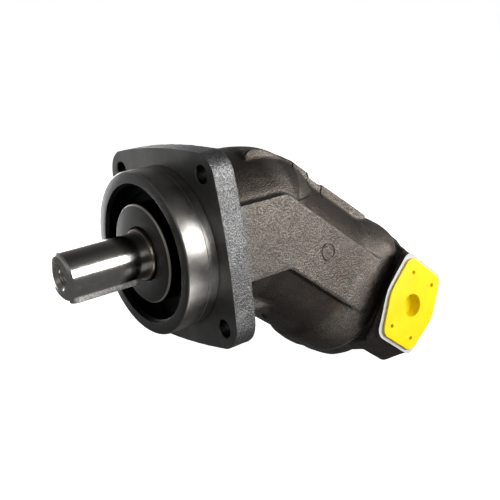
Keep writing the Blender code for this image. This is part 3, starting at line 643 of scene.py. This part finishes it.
def build_drain_plugs():
    pieces = []
    for name, sign, along, surface in DRAINS:
        place, seat = drain_frame(along), surface - DRAIN_DEPTH
        body = [(seat - 3, 0), (seat - 3, 8.2), (seat - 2.2, 9.0), (seat + 1.7, 9.0),
                (seat + 1.7, 12.2), (seat + 2.1, 12.6), (seat + 5.4, 12.6), (seat + 6.0, 12.2),
                (seat + 6.2, 11.4), (seat + 6.2, 0)]
        plug = lathe(name + "_plug", [(sign * a, r) for a, r in body], place, 72)
        socket = hexagon(10)
        low, high = sorted((sign * (seat - 0.5), sign * (seat + 9)))
        carve(plug, loft("socket", [(low, socket), (high, socket)], place))
        pieces.append(plug)
    return pieces


def build_covers():
    """Transport covers: rounded edge, blind plug in the port, pins in the four threads."""
    pieces = []
    for name, side in (("left_cover", -1), ("right_cover", 1)):
        levels = ((0.3, 3.1), (0.5, 2.8), (1.8, 2.8), (2.15, 2.95), (2.3, 3.4))
        sections = [(-side * (PORT_FACE + level), port_outline(-inset))
                    for level, inset in levels]
        cover = loft(name, sections, BENT_SIDE)
        middle = shifted(BENT_SIDE, PORT_U, 0)

        def plug(profile, place, steps):
            return lathe("tool", [(-side * (PORT_FACE + a), r) for a, r in profile], place, steps)

        carve(cover, plug([(-8, 0), (-8, 10), (-7.4, 10.6), (1.8, 10.6), (1.8, 0)], middle, 72),
              operation="UNION")
        carve(cover, plug([(-6.6, 0), (-6.6, 8.6), (-6.1, 9.0), (1.9, 9.3), (2.3, 9.6), (5, 9.6),
                           (5, 0)], middle, 72))
        for x, y in corner_points(*PORT_BOLT):
            place = shifted(BENT_SIDE, PORT_U + x, y)
            carve(cover, plug([(-5, 0), (-5, 3.8), (1.8, 3.8), (1.8, 0)], place, 32),
                  operation="UNION")
            carve(cover, plug([(-2.5, 0), (-2.5, 1.5), (2.0, 1.5), (2.3, 1.8), (5, 1.8), (5, 0)],
                              place, 24))
        pieces.append(cover)
    return pieces


# ---------------------------------------------------------------- shaft and its seal

SHAFT_R = 17.5
SHAFT_END = -92.3
KEY_WIDTH, KEY_START, KEY_END = 10.0, -88.0, -32.0
PISTONS = 7
SOCKET_PITCH_R = 28.0
DRIVE_FACE = 55.0


def ball(name, radius, place):
    arc = [(radius * -math.cos(a), radius * math.sin(a) if 0 < i < 24 else 0)
           for i, a in enumerate(math.pi * n / 24 for n in range(25))]
    return lathe(name, arc, place, 40)


def key_outline(gap):
    half = KEY_WIDTH / 2 + gap
    low, high = KEY_START - gap + half, KEY_END + gap - half
    turns = [math.pi * n / 20 - math.pi / 2 for n in range(21)]
    return ([(high + half * math.cos(a), half * math.sin(a)) for a in turns]
            + [(low - half * math.cos(a), -half * math.sin(a)) for a in turns])


def build_shaft():
    end = SHAFT_END
    profile = [(end, 0), (end, 14.9), (end + 0.15, 15.2), (end + 1.85, 17.3), (end + 2.1, SHAFT_R),
               (-12, SHAFT_R), (-12, 20), (22.2, 20), (22.2, 22.2), (44, 22.2), (44, 36), (46, 38),
               (DRIVE_FACE, 38), (DRIVE_FACE, 11), (66, 11), (66, 0)]
    shaft = lathe("input_shaft", profile, SHAFT, 160)
    thread = [(end - 3, 0), (end - 3, 12.5), (end, 9.5), (end + 1.6, 7.9)]
    for turn in range(14):
        start = end + 1.6 + turn * 2.0
        thread += [(start + 0.85, 7.0), (start + 1.15, 7.0), (start + 2.0, 7.9)]
    thread += [(end + 32, 7.0), (end + 36, 0)]
    carve(shaft, lathe("centre_hole", thread, SHAFT, 64))
    down = frame_along((0, 0, 1), (1, 0, 0))
    carve(shaft, loft("keyway", [(-26, key_outline(0.2)), (-12.2, key_outline(0.2))], down))
    for n in range(PISTONS):
        a = math.pi + 2 * math.pi * n / PISTONS
        x, y = SOCKET_PITCH_R * math.cos(a), SOCKET_PITCH_R * math.sin(a)
        carve(shaft, ball("socket", 7.8, shifted(SHAFT, x, y, DRIVE_FACE + 2)))
        a += math.pi / PISTONS
        hole = [(47.8, 0), (47.8, 2.3), (55.5, 2.3), (59.0, 5.8), (59.0, 0)]
        carve(shaft, lathe("screw_hole", hole, shifted(SHAFT, 32.5 * math.cos(a),
                                                       32.5 * math.sin(a)), 32))
    carve(shaft, ball("centre_socket", 8.0, shifted(SHAFT, 0, 0, KNEE)))
    return shaft


def build_key():
    down = frame_along((0, 0, 1), (1, 0, 0))
    levels = ((-20.5, -0.5), (-20.2, -0.15), (-19.9, 0.0), (-13.0, 0.0), (-12.5, -0.3))
    return loft("shaft_feather_key", [(z, key_outline(gap)) for z, gap in levels], down)


def build_sleeve():
    top, root = 19.6, 18.9
    profile = [(-28.3, 17.8), (-28.3, root)]
    for start in (-28.0, -27.2):
        profile += [(start, root), (start + 0.2, top - 0.1), (start + 0.5, top),
                    (start + 0.6, root)]
    return lathe("seal_sleeve", profile + [(-26.5, root), (-26.3, top), (-14, top), (-14, 17.8)],
                 SHAFT, 128)


def build_carrier():
    front = -25.5
    nose = [(front + 0.6, 20.9), (front, 21.6), (front, 36.5), (front + 0.15, 36.9),
            (front + 1.1, 37.8), (front + 1.5, 37.8), (-10, 37.8), (-10, 51.3), (-8.2, 51.3),
            (-8.2, 48.1), (-4.6, 48.1), (-4.6, 51.3), (-2.3, 51.3), (-2.3, 27), (-23.5, 27),
            (-23.5, 20.9)]
    return lathe("shaft_seal_carrier", nose, SHAFT, 160)


# ---------------------------------------------------------------- materials

class Look:
    """A Principled material with short helpers for its procedural nodes."""

    def __init__(self, name, **sockets):
        self.material = bpy.data.materials.new(name)
        self.material.use_nodes = True
        self.tree = self.material.node_tree
        self.shader = next(n for n in self.tree.nodes if n.type == "BSDF_PRINCIPLED")
        self.place = self.add("ShaderNodeTexCoord").outputs["Object"]
        for socket, value in sockets.items():
            self.put(self.shader.inputs[socket.replace("_", " ")], value)

    def put(self, socket, value):
        if isinstance(value, bpy.types.NodeSocket):
            self.tree.links.new(value, socket)
        elif value is not None:
            socket.default_value = (*value, 1) if socket.type == "RGBA" else value

    def add(self, kind, *values, **settings):
        node = self.tree.nodes.new(kind)
        for key, value in settings.items():
            setattr(node, key, value)
        for socket, value in zip(node.inputs, values):
            self.put(socket, value)
        return node

    def noise(self, place, scale, detail=2.0, rough=0.5):
        node = self.add("ShaderNodeTexNoise")
        for key, value in (("Vector", place), ("Scale", scale), ("Detail", detail),
                           ("Roughness", rough)):
            self.put(node.inputs[key], value)
        return node.outputs["Fac"]

    def math(self, operation, a, b=None, c=None):
        return self.add("ShaderNodeMath", a, b, c, operation=operation).outputs[0]

    def vector(self, operation, a, b=None):
        node = self.add("ShaderNodeVectorMath", a, b, operation=operation)
        return node.outputs["Value" if operation in ("DOT_PRODUCT", "LENGTH") else "Vector"]

    def spread(self, value, low, high, new_low, new_high):
        """Clamped linear change of range."""
        return self.add("ShaderNodeMapRange", value, low, high, new_low, new_high).outputs[0]

    def blend(self, factor, first, second):
        node = self.add("ShaderNodeMix", data_type="RGBA")
        inputs = [s for s in node.inputs if s.enabled]
        for socket, value in zip(inputs, (factor, first, second)):
            self.put(socket, value)
        return next(s for s in node.outputs if s.enabled)

    def bump(self, height, distance, strength):
        node = self.add("ShaderNodeBump")
        for key, value in (("Height", height), ("Distance", distance), ("Strength", strength)):
            self.put(node.inputs[key], value)
        self.put(self.shader.inputs["Normal"], node.outputs["Normal"])

    def along(self, bent=False):
        """(distance along, radius from) the shaft axis or the block axis, in metres."""
        axis = tuple(U_AXIS) if bent else (1.0, 0.0, 0.0)
        from_knee = self.vector("SUBTRACT", self.place, tuple(KNEE_POINT * MM))
        distance = self.vector("DOT_PRODUCT", from_knee, axis)
        radius = self.vector("LENGTH", self.vector("CROSS_PRODUCT", from_knee, axis))
        return distance, radius

    def rings(self, bent=False):
        """Coordinates that only change along the axis and outwards, for turning marks."""
        distance, radius = self.along(bent)
        return self.add("ShaderNodeCombineXYZ", distance, radius).outputs[0]

    def split(self):
        return self.add("ShaderNodeSeparateXYZ", self.place).outputs


WARM_CAST, GREY_CAST = (0.180, 0.158, 0.138), (0.235, 0.235, 0.235)
# Painted shade, laid on the round body between the raised pads and on the crown.
PAINTED_SHADE_CAST = (0.088, 0.074, 0.063)
RUST = (0.095, 0.050, 0.028)
PORE = (0.02, 0.017, 0.015)
BARE_IRON, DULL_IRON = (0.25, 0.247, 0.24), (0.10, 0.10, 0.10)
# Near-black painted shade inside the flange's bolt holes and the port bores.
HOLE_SHADE = (0.008, 0.008, 0.009)
# Pale, hardly metallic rim colour: a painted reflection on the machined port faces and a painted
# highlight on the parting edge.
RIM_REFLECTION = (0.60, 0.59, 0.58)


def cast_tone(look, distance, radius, near_flange):
    """Grey by the flange and warmer behind it, with painted shade on the round body between the
    raised pads and on the crown.
    """
    tone = look.blend(near_flange, WARM_CAST, GREY_CAST)
    behind = look.math("GREATER_THAN", distance, 0.0)
    ahead = look.math("SUBTRACT", 1.0, behind)
    from_axis = look.math("ADD", look.math("MULTIPLY", behind, radius),
                          look.math("MULTIPLY", ahead, look.along()[1]))
    # Painted shade on the round body, which lies nearer the axes than the raised bands and pads.
    round_body_shade = look.spread(from_axis, 0.0587, 0.0603, 1.0, 0.0)
    x, _, z = look.split()
    # Painted shade on the crown above the bands, behind the flange.
    crown = look.math("MULTIPLY", look.spread(z, 0.030, 0.034, 0.0, 1.0),
                      look.spread(x, 0.066, 0.080, 1.0, 0.0))
    crown = look.math("MULTIPLY", crown, look.spread(x, 0.0185, 0.022, 0.0, 1.0))
    return look.blend(look.math("MAXIMUM", round_body_shade, crown), tone, PAINTED_SHADE_CAST)


def cast_skin(name, machined):
    """Shot-blasted sand casting; machined gives masks from 0 to 1 of its bare faces, of a painted
    rim reflection and of painted hole shade.
    """
    look = Look(name, IOR=1.5)
    sand = look.noise(look.place, 950, 2.0, 0.5)
    grain = look.noise(look.place, 1500, 2.0)
    patches = look.noise(look.place, 26, 5.0, 0.6)
    stains = look.noise(look.place, 60, 3.0, 0.55)
    distance, radius = look.along(bent=True)
    near_flange = look.spread(look.split()[0], 0.016, 0.036, 1.0, 0.0)
    tone = cast_tone(look, distance, radius, near_flange)
    deep = look.blend(look.spread(near_flange, 0.0, 1.0, 0.60, 0.72), tone, PORE)
    skin = look.blend(look.spread(sand, 0.40, 0.60, 0.0, 1.0), deep, tone)
    skin = look.blend(look.spread(patches, 0.42, 0.66, 0.35, 0.0), skin, deep)
    rust = look.math("MULTIPLY", look.spread(stains, 0.54, 0.70, 0.0, 0.55),
                     look.spread(distance, 0.02, 0.11, 0.0, 1.0))
    skin = look.blend(rust, skin, RUST)
    bare_mask, rim_reflection_mask, hole_shade_mask = machined(look, distance, radius)
    bare = look.blend(look.spread(patches, 0.35, 0.65, 0.0, 0.7), BARE_IRON, DULL_IRON)
    # Over the bare iron, the rim mask lays the pale rim colour as a painted reflection.
    skin = look.blend(bare_mask, skin, look.blend(rim_reflection_mask, bare, RIM_REFLECTION))
    # The holes get near-black painted shade.
    look.put(look.shader.inputs["Base Color"], look.blend(hole_shade_mask, skin, HOLE_SHADE))
    rough = look.spread(patches, 0.3, 0.7, 0.50, 0.38)
    look.put(look.shader.inputs["Roughness"],
             look.math("MULTIPLY_ADD", bare_mask, -0.06, rough))
    # Where the painted reflection lies, the metal is made hardly metallic so its pale colour shows
    # under any light.
    look.put(look.shader.inputs["Metallic"], look.math("MULTIPLY_ADD", rim_reflection_mask, -0.8, 0.92))
    coarse = look.math("MULTIPLY_ADD", grain, 0.4, sand)
    height = look.math("MULTIPLY", coarse, look.math("SUBTRACT", 1.0, bare_mask))
    turning = look.noise(look.rings(), 1700, 2.0)
    height = look.math("MULTIPLY_ADD", turning, look.math("MULTIPLY", bare_mask, 0.02), height)
    look.bump(height, 0.0007, 0.8)
    return look.material


def housing_mask(look, distance, radius):
    """Front face of the flange, the turned bores and the edge at the parting are bare; the parting
    edge also gets a painted highlight and the bolt holes painted shade.
    """
    x = look.split()[0]
    face = look.spread(x, 0.00012, 0.0003, 1.0, 0.0)
    bore = look.math("MULTIPLY", look.math("LESS_THAN", radius, 0.0463),
                     look.math("GREATER_THAN", distance, 0.001))
    rim = look.spread(distance, 0.1128, 0.1146, 0.0, 1.0)
    mask = look.math("MAXIMUM", look.math("MAXIMUM", face, bore), rim)
    y, z = (look.math("SUBTRACT", look.math("ABSOLUTE", look.split()[n]), BOLT_PITCH * MM)
            for n in (1, 2))
    to_bolt = look.math("SQRT", look.math("ADD", look.math("MULTIPLY", y, y),
                                          look.math("MULTIPLY", z, z)))
    depth = look.math("MULTIPLY", look.math("GREATER_THAN", x, 0.0006),
                      look.math("LESS_THAN", x, 0.0178))
    # Near-black painted shade on the walls of the flange's bolt holes.
    deep = look.math("MULTIPLY", look.math("LESS_THAN", to_bolt, 0.0069), depth)
    # The parting edge gets three tenths of the rim colour as a painted highlight.
    return mask, look.math("MULTIPLY", rim, 0.3), deep


def plate_mask(look, distance, radius):
    """The two port faces and the front face are bare."""
    side = look.math("ABSOLUTE", look.split()[1])
    # The port faces get the pale rim colour: bare machined iron with a painted reflection.
    face = look.spread(side, 0.0776, 0.0778, 0.0, 1.0)
    front = look.math("MULTIPLY", look.math("LESS_THAN", distance, 0.1155),
                      look.math("LESS_THAN", side, 0.0616))
    # The port bores get near-black painted shade.
    to_port = look.math("LESS_THAN", side, 0.0774)
    port = look.vector("SUBTRACT", look.place, tuple((KNEE_POINT + U_AXIS * PORT_U) * MM))
    flat = look.vector("MULTIPLY", port, (1.0, 0.0, 1.0))
    inside = look.math("LESS_THAN", look.vector("LENGTH", flat), 0.0111)
    return look.math("MAXIMUM", face, front), face, look.math("MULTIPLY", to_port, inside)


def turned_metal(name, colour, roughness, metallic=1.0, bent=False, marks=0.05, dark=0.7):
    """Lathe-turned metal: fine rings, smudges, and slightly uneven gloss."""
    look = Look(name, Metallic=metallic)
    rings = look.noise(look.rings(bent), 2600, 3.0, 0.6)
    smudge = look.noise(look.place, 70, 4.0, 0.6)
    wear = look.noise(look.place, 900, 2.0)
    deep = tuple(c * dark for c in colour)
    tint = look.blend(look.spread(smudge, 0.32, 0.68, 0.0, 1.0), deep, colour)
    tint = look.blend(look.spread(wear, 0.62, 0.75, 0.0, 0.35), tint, deep)
    look.put(look.shader.inputs["Base Color"], tint)
    gloss = look.math("MULTIPLY_ADD", rings, 0.10, roughness - 0.05)
    look.put(look.shader.inputs["Roughness"],
             look.math("MULTIPLY_ADD", smudge, 0.08, look.math("SUBTRACT", gloss, 0.04)))
    look.bump(rings, 0.0002, marks)
    return look


def pilot_metal():
    """The pilot is turned a little rougher than the shaft; its front face and its bore are darkened
    as painted shade.
    """
    front_x = -PILOT_LENGTH * MM
    look = turned_metal("pilot_iron", (0.50, 0.48, 0.45), 0.33, 1.0, marks=0.7, dark=0.55)
    x = look.split()[0]
    old = look.shader.inputs["Base Color"].links[0].from_socket
    # Painted shade on the front face.
    front = look.spread(x, front_x + 0.0001, front_x + 0.0005, 1.0, 0.0)
    # Near-black painted shade in the bore.
    inner = look.math("LESS_THAN", look.along()[1], 0.0535)
    front_shade = look.blend(front, old, (0.135, 0.133, 0.130))
    look.put(look.shader.inputs["Base Color"], look.blend(inner, front_shade, (0.012, 0.012, 0.014)))
    return look.material


def carrier_metal():
    """Blackened seal carrier; its front chamfer gets a painted highlight, and its outer side inside
    the bore near-black painted shade.
    """
    look = turned_metal("carrier_steel", (0.115, 0.112, 0.108), 0.42, 0.9, marks=0.12, dark=0.75)
    distance, radius = look.along()
    old = look.shader.inputs["Base Color"].links[0].from_socket
    # Painted highlight on the front chamfer.
    bevel_highlight = look.math("MULTIPLY", look.spread(radius, 0.03655, 0.0368, 0.0, 1.0),
                      look.spread(distance, -0.0929, -0.0926, 1.0, 0.0))
    # Near-black painted shade behind the front, inside the bore.
    flank_shade = look.spread(distance, -0.0926, -0.092, 0.0, 1.0)
    tint = look.blend(flank_shade, old, (0.02, 0.02, 0.022))
    look.put(look.shader.inputs["Base Color"], look.blend(bevel_highlight, tint, (0.62, 0.58, 0.52)))
    return look.material


def key_metal():
    """Bright-plated feather key with a coarse, sparkling surface."""
    look = Look("key_steel", Metallic=0.7)
    grain = look.noise(look.place, 1300, 3.0, 0.7)
    tint = look.blend(look.spread(grain, 0.35, 0.65, 0.0, 1.0), (0.16, 0.155, 0.14),
                      (0.75, 0.74, 0.70))
    look.put(look.shader.inputs["Base Color"], tint)
    look.put(look.shader.inputs["Roughness"], look.spread(grain, 0.3, 0.7, 0.55, 0.35))
    look.bump(grain, 0.0005, 0.7)
    return look.material


def moulded(name, colour, roughness, grain=900):
    """Moulded rubber or plastic: faint flow marks, dust and an eggshell surface."""
    look = Look(name, Specular_IOR_Level=0.25)
    flow = look.noise(look.place, 45, 4.0, 0.6)
    fine = look.noise(look.place, grain, 2.0)
    scuff = look.noise(look.place, 210, 4.0, 0.75)
    worn = tuple(min(1.0, c * 0.90) for c in colour)
    pale = tuple(c + (1 - c) * 0.18 for c in colour)
    tint = look.blend(look.spread(flow, 0.35, 0.65, 0.0, 1.0), worn, colour)
    tint = look.blend(look.spread(scuff, 0.66, 0.78, 0.0, 0.5), tint, pale)
    look.put(look.shader.inputs["Base Color"], tint)
    look.put(look.shader.inputs["Roughness"],
             look.math("MULTIPLY_ADD", fine, 0.12, roughness - 0.06))
    look.bump(fine, 0.0002, 0.12)
    return look.material


def floor_paint():
    look = Look("studio_floor", Roughness=0.9)
    soft = look.noise(look.place, 3.0, 2.0)
    tint = look.blend(soft, (0.86, 0.86, 0.86), (0.88, 0.88, 0.88))
    look.put(look.shader.inputs["Base Color"], tint)
    look.put(look.shader.inputs["Emission Color"], tint)
    look.shader.inputs["Emission Strength"].default_value = FLOOR_GLOW
    return look.material


# ---------------------------------------------------------------- pieces and their finishes

def paint(obj, material):
    obj.data.materials.clear()
    obj.data.materials.append(material)


def put_on(obj, body, slot, material, *stands_for):
    paint(obj, material)
    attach(obj, body)
    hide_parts(*stands_for)


def dress_castings():
    casting, plate = cast_skin("cast_skin", housing_mask), cast_skin("plate_skin", plate_mask)
    put_on(build_housing(), "casing", "cast_iron_casting", casting, "housing")
    put_on(build_pilot(), "casing", "cast_iron_casting", pilot_metal(), "housing")
    put_on(build_port_plate(), "casing", "cast_iron_casting", plate, "port_plate")


def dress_fittings(dark, yellow):
    for i, screw in enumerate(build_plate_screws()):
        put_on(screw, "casing", "dark_steel", dark, "port_plate_screw_%d" % (i + 1))
    for plug in build_drain_plugs():
        put_on(plug, "casing", "dark_steel", dark, plug.name.replace("_plug", "_drain_plug"))
    for cover in build_covers():
        side = cover.name.split("_")[0]
        put_on(cover, side + "_cover", "yellow_cover", yellow, side + "_port_cover")


def dress_shaft_end(sleeve):
    polished = turned_metal("polished_steel", (0.66, 0.63, 0.585), 0.17, marks=0.05, dark=0.86)
    put_on(build_shaft(), "shaft", "polished_shaft_steel", polished.material, "drive_shaft")
    put_on(build_key(), "shaft", "ground_steel", key_metal(), "shaft_key")
    put_on(build_sleeve(), "shaft", "bronze", sleeve, "wear_sleeve")
    put_on(build_carrier(), "casing", "dark_steel", carrier_metal(), "seal_carrier")


def dress_inner_parts(finishes, bent_finishes):
    """Carried-over CAD nodes keep their shape and take the finish of their slot."""
    slots = {s["node"]: s["material_slot"] for s in frame["record"]["subparts"]}
    for name, node in frame["nodes"].items():
        on_block = node["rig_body"] == "cylinder_group"
        chosen = (bent_finishes if on_block else finishes)[slots[name]]
        paint(node, chosen)
        finish_shading(node, 30)


def dress_everything():
    rubber = moulded("black_rubber", (0.018, 0.018, 0.019), 0.55)
    yellow = moulded("yellow_plastic", (0.86, 0.67, 0.002), 0.50)
    sleeve = turned_metal("sleeve_steel", (0.40, 0.355, 0.30), 0.32, marks=0.2).material
    finishes, bent_finishes = {}, {}
    for bent, store in ((False, finishes), (True, bent_finishes)):
        tail = "_bent" if bent else ""
        metals = (("ground_steel", (0.50, 0.49, 0.46), 0.28), ("bronze", (0.46, 0.31, 0.14), 0.33),
                  ("dark_steel", (0.10, 0.10, 0.105), 0.38),
                  ("polished_shaft_steel", (0.66, 0.63, 0.585), 0.17),
                  ("cast_iron_casting", BARE_IRON, 0.45))
        for slot, colour, roughness in metals:
            store[slot] = turned_metal(slot + tail, colour, roughness, bent=bent).material
        store["black_rubber"], store["yellow_cover"] = rubber, yellow
    dress_inner_parts(finishes, bent_finishes)
    # The snap ring is made near-black as painted shade inside the bore.
    snap = turned_metal("snap_steel", (0.03, 0.03, 0.032), 0.4).material
    paint(frame["nodes"]["snap_ring"], snap)
    dress_castings()
    dress_fittings(finishes["dark_steel"], yellow)
    dress_shaft_end(sleeve)


# ---------------------------------------------------------------- studio

FLOOR_GLOW = 1.05
CAMERA_PLACE = Vector((-0.3286, -0.5603, 0.1369))
CAMERA_AZIMUTH, CAMERA_DIP, CAMERA_ROLL = (math.radians(a) for a in (35.667, 12.987, -8.033))
CAMERA_LENS = 62.7


def make_camera():
    data = bpy.data.cameras.new("camera")
    data.sensor_width, data.lens = 36.0, CAMERA_LENS
    data.shift_x, data.shift_y = -0.001, 0.001
    data.clip_start = 0.01
    camera = bpy.data.objects.new("camera", data)
    bpy.context.scene.collection.objects.link(camera)
    forward = Vector((math.sin(CAMERA_AZIMUTH) * math.cos(CAMERA_DIP),
                      math.cos(CAMERA_AZIMUTH) * math.cos(CAMERA_DIP), -math.sin(CAMERA_DIP)))
    right = forward.cross(Vector((0, 0, 1))).normalized()
    level = Matrix((right, right.cross(forward), -forward)).transposed().to_4x4()
    camera.matrix_world = (Matrix.Translation(CAMERA_PLACE) @ level
                           @ Matrix.Rotation(CAMERA_ROLL, 4, "Z"))
    bpy.context.scene.camera = camera


def soft_box(name, place, target, size, power, colour=(1, 1, 1)):
    data = bpy.data.lights.new(name, "AREA")
    data.shape = "RECTANGLE"
    data.size, data.size_y = size
    data.energy, data.color = power, colour
    lamp = bpy.data.objects.new(name, data)
    lamp.location = place
    lamp.rotation_mode = "QUATERNION"
    lamp.rotation_quaternion = (Vector(target) - Vector(place)).to_track_quat("-Z", "Y")
    lamp.visible_camera = False
    bpy.context.scene.collection.objects.link(lamp)


def make_sky():
    """Pale at the horizon and darker overhead; the camera sees plain white."""
    world = bpy.data.worlds.new("studio")
    bpy.context.scene.world = world
    world.use_nodes = True
    nodes, links = world.node_tree.nodes, world.node_tree.links
    background = next(n for n in nodes if n.type == "BACKGROUND")
    coords, split = nodes.new("ShaderNodeTexCoord"), nodes.new("ShaderNodeSeparateXYZ")
    links.new(coords.outputs["Generated"], split.inputs[0])
    ramp = nodes.new("ShaderNodeValToRGB")
    stops = ((0.0, 0.12), (0.42, 0.36), (0.56, 0.14), (1.0, 0.015))
    while len(ramp.color_ramp.elements) < len(stops):
        ramp.color_ramp.elements.new(0.5)
    for element, (position, grey) in zip(ramp.color_ramp.elements, stops):
        element.position, element.color = position, (grey, grey, grey, 1)
    links.new(split.outputs["Z"], ramp.inputs[0])
    path, mix = nodes.new("ShaderNodeLightPath"), nodes.new("ShaderNodeMix")
    mix.data_type = "RGBA"
    inputs = [s for s in mix.inputs if s.enabled]
    links.new(path.outputs["Is Camera Ray"], inputs[0])
    links.new(ramp.outputs["Color"], inputs[1])
    inputs[2].default_value = (1, 1, 1, 1)
    links.new(next(s for s in mix.outputs if s.enabled), background.inputs["Color"])


def make_floor():
    low = min(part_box(name)[0].z for name in frame["nodes"])
    outline = [(-12000, -12000), (12000, -12000), (12000, 12000), (-12000, 12000)]
    level = low / MM - 0.4
    floor = loft("studio_floor", [(level - 20, outline), (level, outline)], Matrix())
    paint(floor, floor_paint())
    floor.visible_diffuse = floor.visible_glossy = False


def make_studio():
    make_floor()
    make_sky()
    middle = (0.06, 0.0, -0.02)
    soft_box("key", (0.95, -1.24, 0.30), middle, (1.2, 0.85), 31)
    soft_box("front_fill", (-0.05, -1.5, 0.35), middle, (0.7, 0.6), 6)
    soft_box("far_fill", (0.25, 1.5, 0.0), middle, (1.3, 0.9), 16)
    soft_box("low_fill", (-0.2, -0.9, -1.1), middle, (1.0, 0.8), 7)
    make_camera()
    view = bpy.context.scene.view_settings
    view.view_transform, view.look = "Standard", "None"


dress_everything()
make_studio()
